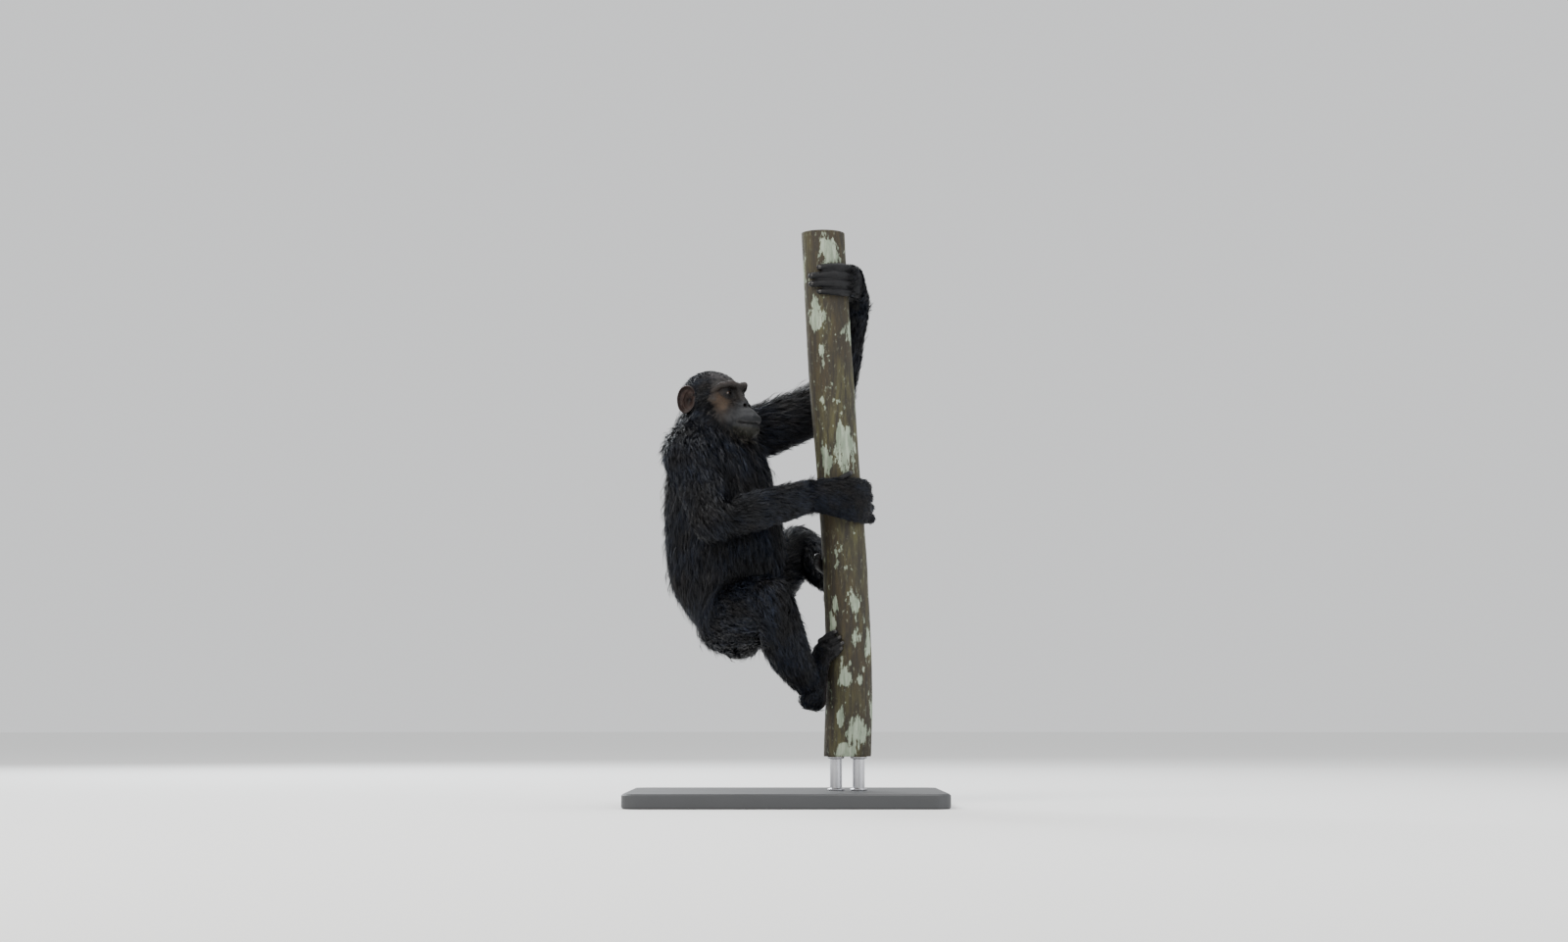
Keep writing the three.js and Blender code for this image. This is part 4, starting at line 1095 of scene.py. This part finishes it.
# Ears: a thin cup with a rolled rim, an inner ridge and a deep bowl towards the face

ear = {"at": (-31, 78, -9), "facing": 56, "wide": 23.5, "high": 35.5, "thick": 2.4, "cells": 46}
ears = []


def earMiddle(s):
    return np.array(ear["at"]) * (1, s, 1)


for side, s in sides.items():
    cup = grid(ear["cells"], ear["cells"])
    u, v = pointsOf(cup)[:, :2].T
    disc = np.stack([u * np.sqrt(1 - v**2 / 2), v * np.sqrt(1 - u**2 / 2)], axis=1)  # a square made round
    out = np.hypot(*disc.T)
    toFace, up = disc.T
    across = ear["wide"] * toFace * (1 + 0.10 * up) + 1.5 * up
    tall = ear["high"] * up * (1 - 0.05 * toFace)
    rimmed = smoothStep(-0.75, 0.0, -toFace + 0.6 * up)
    deep = 10 * out**2 - 5
    rolled = 3.8 * bump(out, 0.90, 0.07) - 2.6 * bump(out, 0.76, 0.08) - 4.0 * smoothStep(0.94, 1.0, out)
    deep = deep + rimmed * rolled
    deep = deep + 4.2 * bump(np.hypot(toFace - 0.25, up * 0.85 + 0.02), 0.60, 0.10) * smoothStep(0.35, -0.2, toFace)
    # the bowl, the flap before it and the lobe
    deep = deep - 6.5 * spot(toFace, up, (0.30, -0.08), (0.32, 0.30))
    deep = deep + 5.0 * spot(toFace, up, (0.72, -0.05), (0.16, 0.20))
    deep = deep + 2.0 * spot(toFace, up, (0.25, -0.75), (0.25, 0.2))
    local = np.stack([deep, -s * across, tall], axis=1)
    local += 0.35 * np.stack([roughField(local, 6, 51), roughField(local, 7, 52), roughField(local, 8, 53)], axis=1)
    turn = turnLevel(math.radians(s * ear["facing"]))
    setPoints(cup, headToFrame(local @ turn.T + earMiddle(s)) * mm)
    # painted shade in the ear's bowl
    pit = spot(toFace, up, (0.30, -0.08), (0.30, 0.28))
    tones = np.tile((0.0260, 0.0145, 0.0115), (len(local), 1))
    tones = blendTones(tones, smoothStep(0.80, 0.98, out), (0.0190, 0.0130, 0.0115))
    tones = blendTones(tones, 0.85 * pit, (0.0050, 0.0033, 0.0030))
    # painted shade in the groove inside the rolled rim
    tones = blendTones(tones, 0.5 * bump(out, 0.76, 0.09) * rimmed, (0.0100, 0.0065, 0.0058))
    paintTone(cup, tones * (1 + 0.3 * roughField(local, 5, 54))[:, None])
    mended(cup, weld=False)
    outward = headTurn @ turn @ np.array([1.0, 0, 0])
    flipped = float(np.mean(normalsOf(cup) @ outward)) < 0
    modify(cup, "SOLIDIFY", thickness=ear["thick"] * mm, offset=1.0 if flipped else -1.0)
    root = ball(28, 20)
    points = pointsOf(root) * (11, 13, 22) + (-24, -s * 6, -4)
    setPoints(root, headToFrame(points @ turn.T + earMiddle(s)) * mm)
    paintTone(root, np.tile((0.0090, 0.0070, 0.0066), (len(points), 1)))
    whole = mended(joined([cup, root], f"ear{side}"))
    whole.data.materials.append(skinMaterial)
    ears.append(whole)
print("ears")


# Coat: tufts of three fine blades each, rooted in the skin, along the lie of the hair

coat = {
    "perSquareMetre": {"body": 88000, "head": 190000},
    "wide": 1.9,  # of a tuft at its middle
    "mostTriangles": 190000,  # in one piece
    "tones": {"black": (0.0045, 0.0045, 0.0055), "blue": (0.0072, 0.0100, 0.0180),
              "brown": (0.017, 0.012, 0.009), "grey": (0.14, 0.13, 0.11)},
}
# a tuft: three root corners and the same further out, then two corners and a tip for each blade
tuft = {
    "steps": ((0.0, -0.14), (0.34, 0.52), (0.68, 0.88), (1.0, 0.98)),  # shares of its length and of its rise
    "blades": ((-0.75, 0.6), (0.0, -0.9), (0.75, 0.6)),  # each blade's place aside and upwards
    "points": 15,
    "triangles": 15,
    "pull": 14,  # the distance from which tips gather less
    "fit": 0.82,  # how closely its outer half follows the skin
    "patch": 0.003,
}
# lie is 1 towards the form's last station and -1 towards its first
coatForms = {
    "Torso": {"form": torsoForm, "lie": -1, "hang": 0.5},
    "Neck": {"form": neckForm, "lie": -1, "hang": 0.5},
    **{f"{name}{side}": {"form": limb["forms"][side], "lie": 1, "hang": limb["hang"]}
       for name, limb in limbs.items() for side in sides},
}
random = np.random.default_rng(11)


def scatter(piece, density, perSquareMetre):
    # points spread over a skin by area and density, with the skin's normal, in millimetres
    mesh = piece.data
    mesh.calc_loop_triangles()
    corners = np.empty(len(mesh.loop_triangles) * 3, np.int64)
    mesh.loop_triangles.foreach_get("vertices", corners)
    corners = corners.reshape(-1, 3)
    co, normals = pointsOf(piece) / mm, normalsOf(piece)
    a, b, c = (co[corners[:, k]] for k in range(3))
    area = np.linalg.norm(np.cross(b - a, c - a), axis=1) / 2 * mm * mm
    facing = unit(np.cross(b - a, c - a))
    weight = area * density((a + b + c) / 3, facing)
    count = int(weight.sum() * perSquareMetre)
    chosen = np.sort(random.choice(len(corners), size=count, p=weight / weight.sum()))
    r1, r2 = np.sqrt(random.random(count)), random.random(count)
    shares = np.stack([1 - r1, r1 * (1 - r2), r1 * r2], axis=1)
    at = np.einsum("nk,nkj->nj", shares, co[corners[chosen]])
    normal = unit(np.einsum("nk,nkj->nj", shares, normals[corners[chosen]]))
    return at, normal


def towardsClump(tips, at, every=11):
    # the end of the tuft that each one leans to, one in so many of them
    leaders = random.choice(len(at), size=max(2, len(at) // every), replace=False)
    tree = KDTree(len(leaders))
    for index, leader in enumerate(leaders):
        tree.insert(tips[leader], index)
    tree.balance()
    nearest = np.array([tree.find(tip)[1] for tip in tips])
    return tips[leaders[nearest]]


def growTufts(at, normal, lie, length, depth, wide, tone, patch, name, cover=None, clumping=0.28, ruffle=0.06):
    # the steps of each tuft from its sunk root to its tips, then its blades
    count = len(at)
    side = unit(np.cross(lie, normal))
    roll = np.clip(0.5 * random.standard_normal(count), -1.1, 1.1)[:, None]
    blade = side * np.cos(roll) + normal * np.sin(roll)
    over = normal * np.cos(roll) - side * np.sin(roll)
    layer = 0.35 + 0.65 * random.random(count) ** 0.8
    layer[random.random(count) < ruffle] *= 1.45
    length = length * (0.78 + 0.44 * random.random(count))
    sway = 0.13 * random.standard_normal(count) + 0.12 * roughField(at, 34, 61)
    steps = []
    for share, rise in tuft["steps"]:
        point = at + lie * (length * share)[:, None] + side * (length * share**1.5 * sway)[:, None]
        point = point + normal * (depth * layer * rise)[:, None]
        if cover is not None and share > 0.5:
            fitted = np.empty_like(point)
            for index in range(count):
                spot, facing, _, _ = cover.find_nearest(Vector(point[index]))
                fitted[index] = spot + facing * (depth[index] * layer[index] * rise)
            point = 0.18 * point + tuft["fit"] * fitted
        steps.append(point)
    gathered = towardsClump(steps[3], at)
    away = np.maximum(np.linalg.norm(gathered - steps[3], axis=1), 1e-3)
    steps[3] = steps[3] + (gathered - steps[3]) * (clumping * np.clip(tuft["pull"] / away, 0, 1))[:, None]
    steps[2] = steps[2] + (gathered - steps[3]) * (0.35 * clumping)
    half = wide * (0.75 + 0.5 * random.random(count)) / 2
    flat = 0.42 * half

    # a three-sided root part, then a blade from each of its sides
    points = np.empty((count, tuft["points"], 3))
    for ring, size in ((0, 0.75), (1, 1.0)):
        for corner, turn in enumerate((90, 210, 330)):
            aside, up = math.cos(math.radians(turn)), math.sin(math.radians(turn))
            shift = blade * (half * size * aside)[:, None]
            points[:, ring * 3 + corner] = steps[ring] + shift + over * (flat * size * up)[:, None]
    spread = half * (1.0 + 0.8 * random.random(count))
    for index, (aside, up) in enumerate(tuft["blades"]):
        middle = steps[2] + blade * (spread * aside)[:, None] + over * (flat * up)[:, None]
        narrow = (half * 0.42)[:, None]
        points[:, 6 + index * 2] = middle - blade * narrow
        points[:, 7 + index * 2] = middle + blade * narrow
        wander = random.standard_normal((count, 3)) * (0.05 * length)[:, None]
        points[:, 12 + index] = steps[3] + blade * (spread * aside * 2.0)[:, None] + wander
    edges = ((0, 1), (1, 2), (2, 0))
    faces = []
    for a, b in edges:
        faces += [(a, b, b + 3), (a, b + 3, a + 3)]
    for index, (a, b) in enumerate(edges):
        left, right = 7 + 2 * index, 6 + 2 * index
        low, high = a + 3, b + 3
        faces += [(low, high, right), (low, right, left), (left, right, 12 + index)]
    faces = np.array(faces)
    alongTuft = np.array([0, 0, 0, 0.36, 0.36, 0.36, 0.7, 0.7, 0.7, 0.7, 0.7, 0.7, 1, 1, 1])
    acrossTuft = np.array([0, 0.5, 1, 0, 0.5, 1, 0, 0.2, 0.4, 0.6, 0.8, 1, 0.1, 0.5, 0.9])

    # no blade reaches into the tree trunk
    axis, size = trunkAt(points[:, :, 2].reshape(-1))
    off = (points.reshape(-1, 3) - axis)[:, :2] / (size + 0.5)
    outside = (np.hypot(*off.T).reshape(count, tuft["points"]) > 1).all(axis=1)
    clear = outside | (points[:, :, 2].min(axis=1) > trunk["top"])
    points, tone, patch = points[clear], tone[clear], patch[clear]
    count = len(points)

    mesh = bpy.data.meshes.new(name)
    corners = (faces[None] + tuft["points"] * np.arange(count)[:, None, None]).reshape(-1)
    mesh.vertices.add(count * tuft["points"])
    mesh.vertices.foreach_set("co", (points * mm).ravel())
    mesh.loops.add(len(corners))
    mesh.loops.foreach_set("vertex_index", corners)
    mesh.polygons.add(len(corners) // 3)
    mesh.polygons.foreach_set("loop_start", np.arange(0, len(corners), 3))
    mesh.polygons.foreach_set("use_smooth", np.ones(len(corners) // 3, bool))
    mesh.update(calc_edges=True)
    u, v = (patch[:, k : k + 1] + (place - 0.5) * tuft["patch"] for k, place in enumerate((acrossTuft, alongTuft)))
    uv = np.stack([u, v], axis=2).reshape(-1, 2)
    mesh.uv_layers.new(name="OFBake").data.foreach_set("uv", uv[corners].astype(np.float32).ravel())
    addLayer(mesh, "along", np.tile(alongTuft, count))
    piece = bpy.data.objects.new(name, mesh)
    bpy.context.scene.collection.objects.link(piece)
    paintTone(piece, np.repeat(tone, tuft["points"], axis=0))
    mesh.materials.append(coatMaterial)
    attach(piece, "root")
    return piece


def coatTone(points, brown=0.25):
    wave = roughField(points, 38, 71) * 0.6 + roughField(points, 12, 72) * 0.4
    tone = np.tile(coat["tones"]["black"], (len(points), 1))
    tone = blendTones(tone, smoothStep(-0.4, 0.6, wave), coat["tones"]["blue"])
    tone = blendTones(tone, brown * smoothStep(0.1, 0.8, roughField(points, 24, 73)), coat["tones"]["brown"])
    return tone * (0.55 + 1.3 * random.random(len(points)) ** 2)[:, None]


def patchIn(cell, share, turn):
    # a root's place on the unwrap: one cell of a four by four sheet for each form
    return np.stack([(cell % 4 + 0.06 + 0.88 * share) / 4, (cell // 4 + 0.06 + 0.88 * (turn % 1)) / 4], axis=1)


def lieOfBody(points, normal):
    # nearest form, direction of the hair, coat depth and place on the unwrap at points of the body's skin
    steps = np.linspace(0, 1, 26)
    total = np.zeros((len(points), 3))
    bestOut = np.full(len(points), 1e9)
    nearest = np.zeros(len(points), int)
    depth, share, turn = (np.zeros(len(points)) for _ in range(3))
    for index, form in enumerate(coatForms.values()):
        parts, direction, wide, deep, coatDepth = sectionsOf(form["form"], points, steps)
        wide, deep = wide - coatDepth, deep - coatDepth
        out = farOut(parts, (wide, deep, np.minimum(wide, deep)))
        best = out.argmin(axis=1)
        rows = np.arange(len(points))
        near = out[rows, best]
        weight = np.exp(-((np.maximum(near - 1, 0) / 0.22) ** 2))
        total += weight[:, None] * (form["lie"] * direction[best] + form["hang"] * np.array([0, 0, -1.0]))
        closer = near < bestOut
        bestOut = np.where(closer, near, bestOut)
        nearest = np.where(closer, index, nearest)
        depth = np.where(closer, coatDepth[best], depth)
        share = np.where(closer, steps[best], share)
        turn = np.where(closer, np.arctan2(parts[1][rows, best], parts[0][rows, best]) / (2 * math.pi), turn)
    return nearest, laidOn(total, normal), depth, share, patchIn(nearest, share, turn)


coverTree = BVHTree.FromPolygons(
    [Vector(p) for p in pointsOf(bodySkin) / mm], [tuple(p.vertices) for p in bodySkin.data.polygons])


def bodyDensity(points, facing):
    inHead = smoothStep(-2, 4, headDistance(frameToHead(points)))
    return 0.05 + 0.95 * inHead


roots, normal = scatter(bodySkin, bodyDensity, coat["perSquareMetre"]["body"])
nearest, lie, depth, share, patch = lieOfBody(roots, normal)
tone = coatTone(roots)
# the coat hangs in wisps under the limbs and the belly, stands out at the nape, and is frayed over the left elbow
under = smoothStep(-0.25, -0.75, normal[:, 2])
nape = (nearest == list(coatForms).index("Neck")) * smoothStep(0.1, -0.5, normal[:, 0])
fringe = (nearest == list(coatForms).index("UpperArmLeft")) * smoothStep(0.2, 0.75, normal[:, 2])
fringe = fringe * smoothStep(0.45, 0.75, share)
ruffle = 0.05 + 0.12 * under + 0.2 * nape + 0.2 * fringe
depth = depth * (1 - 0.12 * under + 0.5 * fringe)
tone = blendTones(tone, 0.22 * fringe * random.random(len(roots)), coat["tones"]["grey"])
print("body tufts", len(roots))
for index, name in enumerate(coatForms):
    mine = np.flatnonzero(nearest == index)
    parts = 1 + len(mine) * tuft["triangles"] // coat["mostTriangles"]
    order = mine[np.argsort(roots[mine, 2], kind="stable")]
    for part, chosen in enumerate(np.array_split(order, parts)):
        label = f"coat{name}" + (str(part + 1) if parts > 1 else "")
        length = 18 + 1.8 * depth[chosen]
        growTufts(roots[chosen], normal[chosen], lie[chosen], length, depth[chosen], coat["wide"], tone[chosen],
                  patch[chosen], label, coverTree, ruffle=ruffle[chosen])
print("body coat")


# Head hair: short and thin on the crown, longer behind the ears and down the cheeks, pale and sparse on the chin

def hairline(points):
    # how far forward the hair grows, from the chin up to the crown
    heights = (-95, -84, -66, -45, -25, 0, 30, 44, 54, 66, 90)
    return np.interp(points[:, 2], heights, (98, 88, 70, 51, 38, 33, 30, 20, 8, -4, -12))


def headHair(points):
    # density, length, depth and width of the hair at points of the head, and how much of it is the chin's
    x, y, z = points.T
    haired = smoothStep(8, -8, x - hairline(points) + 7 * roughField(points, 14, 81))
    crown = smoothStep(30, 52, z) * smoothStep(-70, -30, x)
    forehead = smoothStep(36, 46, z) * smoothStep(62, 40, x)
    chin = smoothStep(-62, -76, z) * smoothStep(62, 90, x) * smoothStep(142, 128, x)
    behind = smoothStep(-20, -60, x)
    whiskers = smoothStep(10, -30, z) * smoothStep(-40, -10, x)
    brow = bump(z, 38, 5) * smoothStep(46, 60, x)
    bare = np.maximum(np.maximum(0.30 * forehead, 0.30 * chin), 0.10 * brow)
    density = haired * (1 - 0.45 * crown) + bare * (1 - haired)
    length = 17 + 16 * behind + 15 * whiskers * haired - 5 * crown
    length = length * haired + (1 - haired) * (9 + 2 * chin - 2 * brow)
    rise = (3.6 + 1.2 * behind + 3.0 * whiskers - 1.2 * crown) * haired + (1.4 + 1.2 * chin) * (1 - haired)
    wide = 0.55 + 0.85 * haired
    return density, length, rise, wide, chin


def earClear(points):
    clear = np.ones(len(points))
    for s in (-1, 1):
        away = (points - earMiddle(s)) / (27, 32, 38)
        clear *= smoothStep(0.75, 1.1, np.linalg.norm(away, axis=1))
    return clear


def headDensity(points, facing):
    local = frameToHead(points)
    density = headHair(local)[0] * (0.2 + 0.8 * earClear(local))
    parts, direction, wide, deep, coatDepth = sectionsOf(neckForm, points, np.linspace(0, 1, 14))
    inNeck = farOut(parts, (wide - coatDepth, deep - coatDepth, wide)).min(axis=1)
    return density * smoothStep(0.86, 0.98, inNeck)


roots, normal = scatter(headSkin, headDensity, coat["perSquareMetre"]["head"])
local = frameToHead(roots)
density, length, rise, wide, chin = headHair(local)
x, y, z = local.T
# hair runs back over the crown and down the back, and down and back over the cheeks
down = -0.9 * smoothStep(30, -40, x) - 1.1 * smoothStep(20, -20, z)
back = np.stack([-1.0 * np.ones(len(x)), 0.25 * np.sign(y), down], axis=1)
back = back + np.stack([0.5 * smoothStep(-30, -70, z), 0 * x, -0.5 * smoothStep(-20, -60, z)], axis=1)
back = blendTones(back, chin, (0.25, 0.0, -1.0))
lie = laidOn(back @ headTurn.T, normal)
length = length * (0.35 + 0.65 * earClear(frameToHead(roots + lie * length[:, None])))  # kept off the ear
tone = coatTone(roots, brown=0.5)
tone = blendTones(tone, 0.7 * chin * random.random(len(x)), coat["tones"]["grey"])
ahead = unit(local - np.array(head["core"]))
polar, roll = np.arccos(np.clip(ahead[:, 0], -1, 1)), np.arctan2(ahead[:, 1], ahead[:, 2])
patch = patchIn(np.full(len(x), 12), polar / math.pi, roll / (2 * math.pi))
growTufts(roots, normal, lie, length, rise, wide, tone, patch, "coatHead", clumping=0.2)
print("head hair", len(roots))


# Short hair over the backs of the hands and feet, as far as the first joints of the fingers

handHair = {
    "hand": {"density": 150000, "length": 27, "rise": 5.5},
    "foot": {"density": 120000, "length": 17, "rise": 3.5},
    "wide": 1.2,
}
for cell, ((kind, side), e) in enumerate(extremity.items()):
    settings = handHair[kind]
    palm = e["forms"][0]

    def onBack(points, facing):
        away, share = nearestOn(e["forms"], points)
        part = away.argmin(axis=0)
        where = share[part, np.arange(len(points))]
        outer = np.sum(fromTrunk(points) * facing, axis=1)
        onFingers = smoothStep(0.34, 0.05, where) * (kind == "hand")
        upTo = np.where(part == 0, smoothStep(1.1, 0.75, where), onFingers)
        return upTo * smoothStep(-0.35, 0.15, outer) + 0.002

    roots, normal = scatter(e["piece"], onBack, settings["density"])
    share = nearestOn([palm], roots, 40)[1][0]
    centre, direction, across, up, wide, deep, _ = along(palm, share)
    lie = laidOn(direction + np.array([0, 0, -0.35]), normal)
    fade = 1 - 0.5 * share
    off = roots - centre
    turn = np.arctan2(np.sum(off * up, axis=1), np.sum(off * across, axis=1)) / (2 * math.pi)
    patch = patchIn(np.full(len(roots), 13 + cell % 2), share, turn) * (1, 0.5) + (0, 0.38 + 0.12 * (cell // 2))
    growTufts(roots, normal, lie, settings["length"] * fade, settings["rise"] * fade, handHair["wide"],
              coatTone(roots), patch, f"coat{kind.capitalize()}{side}", clumping=0.2)
print("hand and foot hair")


# Skin: all of it is one piece, so that no seam shows

# flat places need fewer faces than folds, and the body lies under the coat
thinning = [
    {"pieces": [bodySkin], "kept": 0.40}, {"pieces": [headSkin], "kept": 0.56}, {"pieces": ears, "kept": 0.5},
    {"pieces": [e["piece"] for e in extremity.values()], "kept": 0.37},
]
for group in thinning:
    for piece in group["pieces"]:
        modify(piece, "DECIMATE", ratio=group["kept"])
skin = smoothed(joined([*[piece for group in thinning for piece in group["pieces"]], *lids], "skin"))
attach(skin, "root")
fleshNodes = ["head", "neck", "torso"]
for side in ("right", "left"):
    fleshNodes += [f"{part}_{side}" for part in ("ear", "upper_arm", "forearm", "hand", "thigh", "shin", "foot")]
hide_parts(*fleshNodes)


def trianglesIn(piece):
    return sum(len(p.vertices) - 2 for p in piece.data.polygons)


print("skin", trianglesIn(skin), "triangles")
others = [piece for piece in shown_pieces() if piece.name != "skin"]
print("all pieces", sum(trianglesIn(piece) for piece in others) + trianglesIn(skin), "triangles")
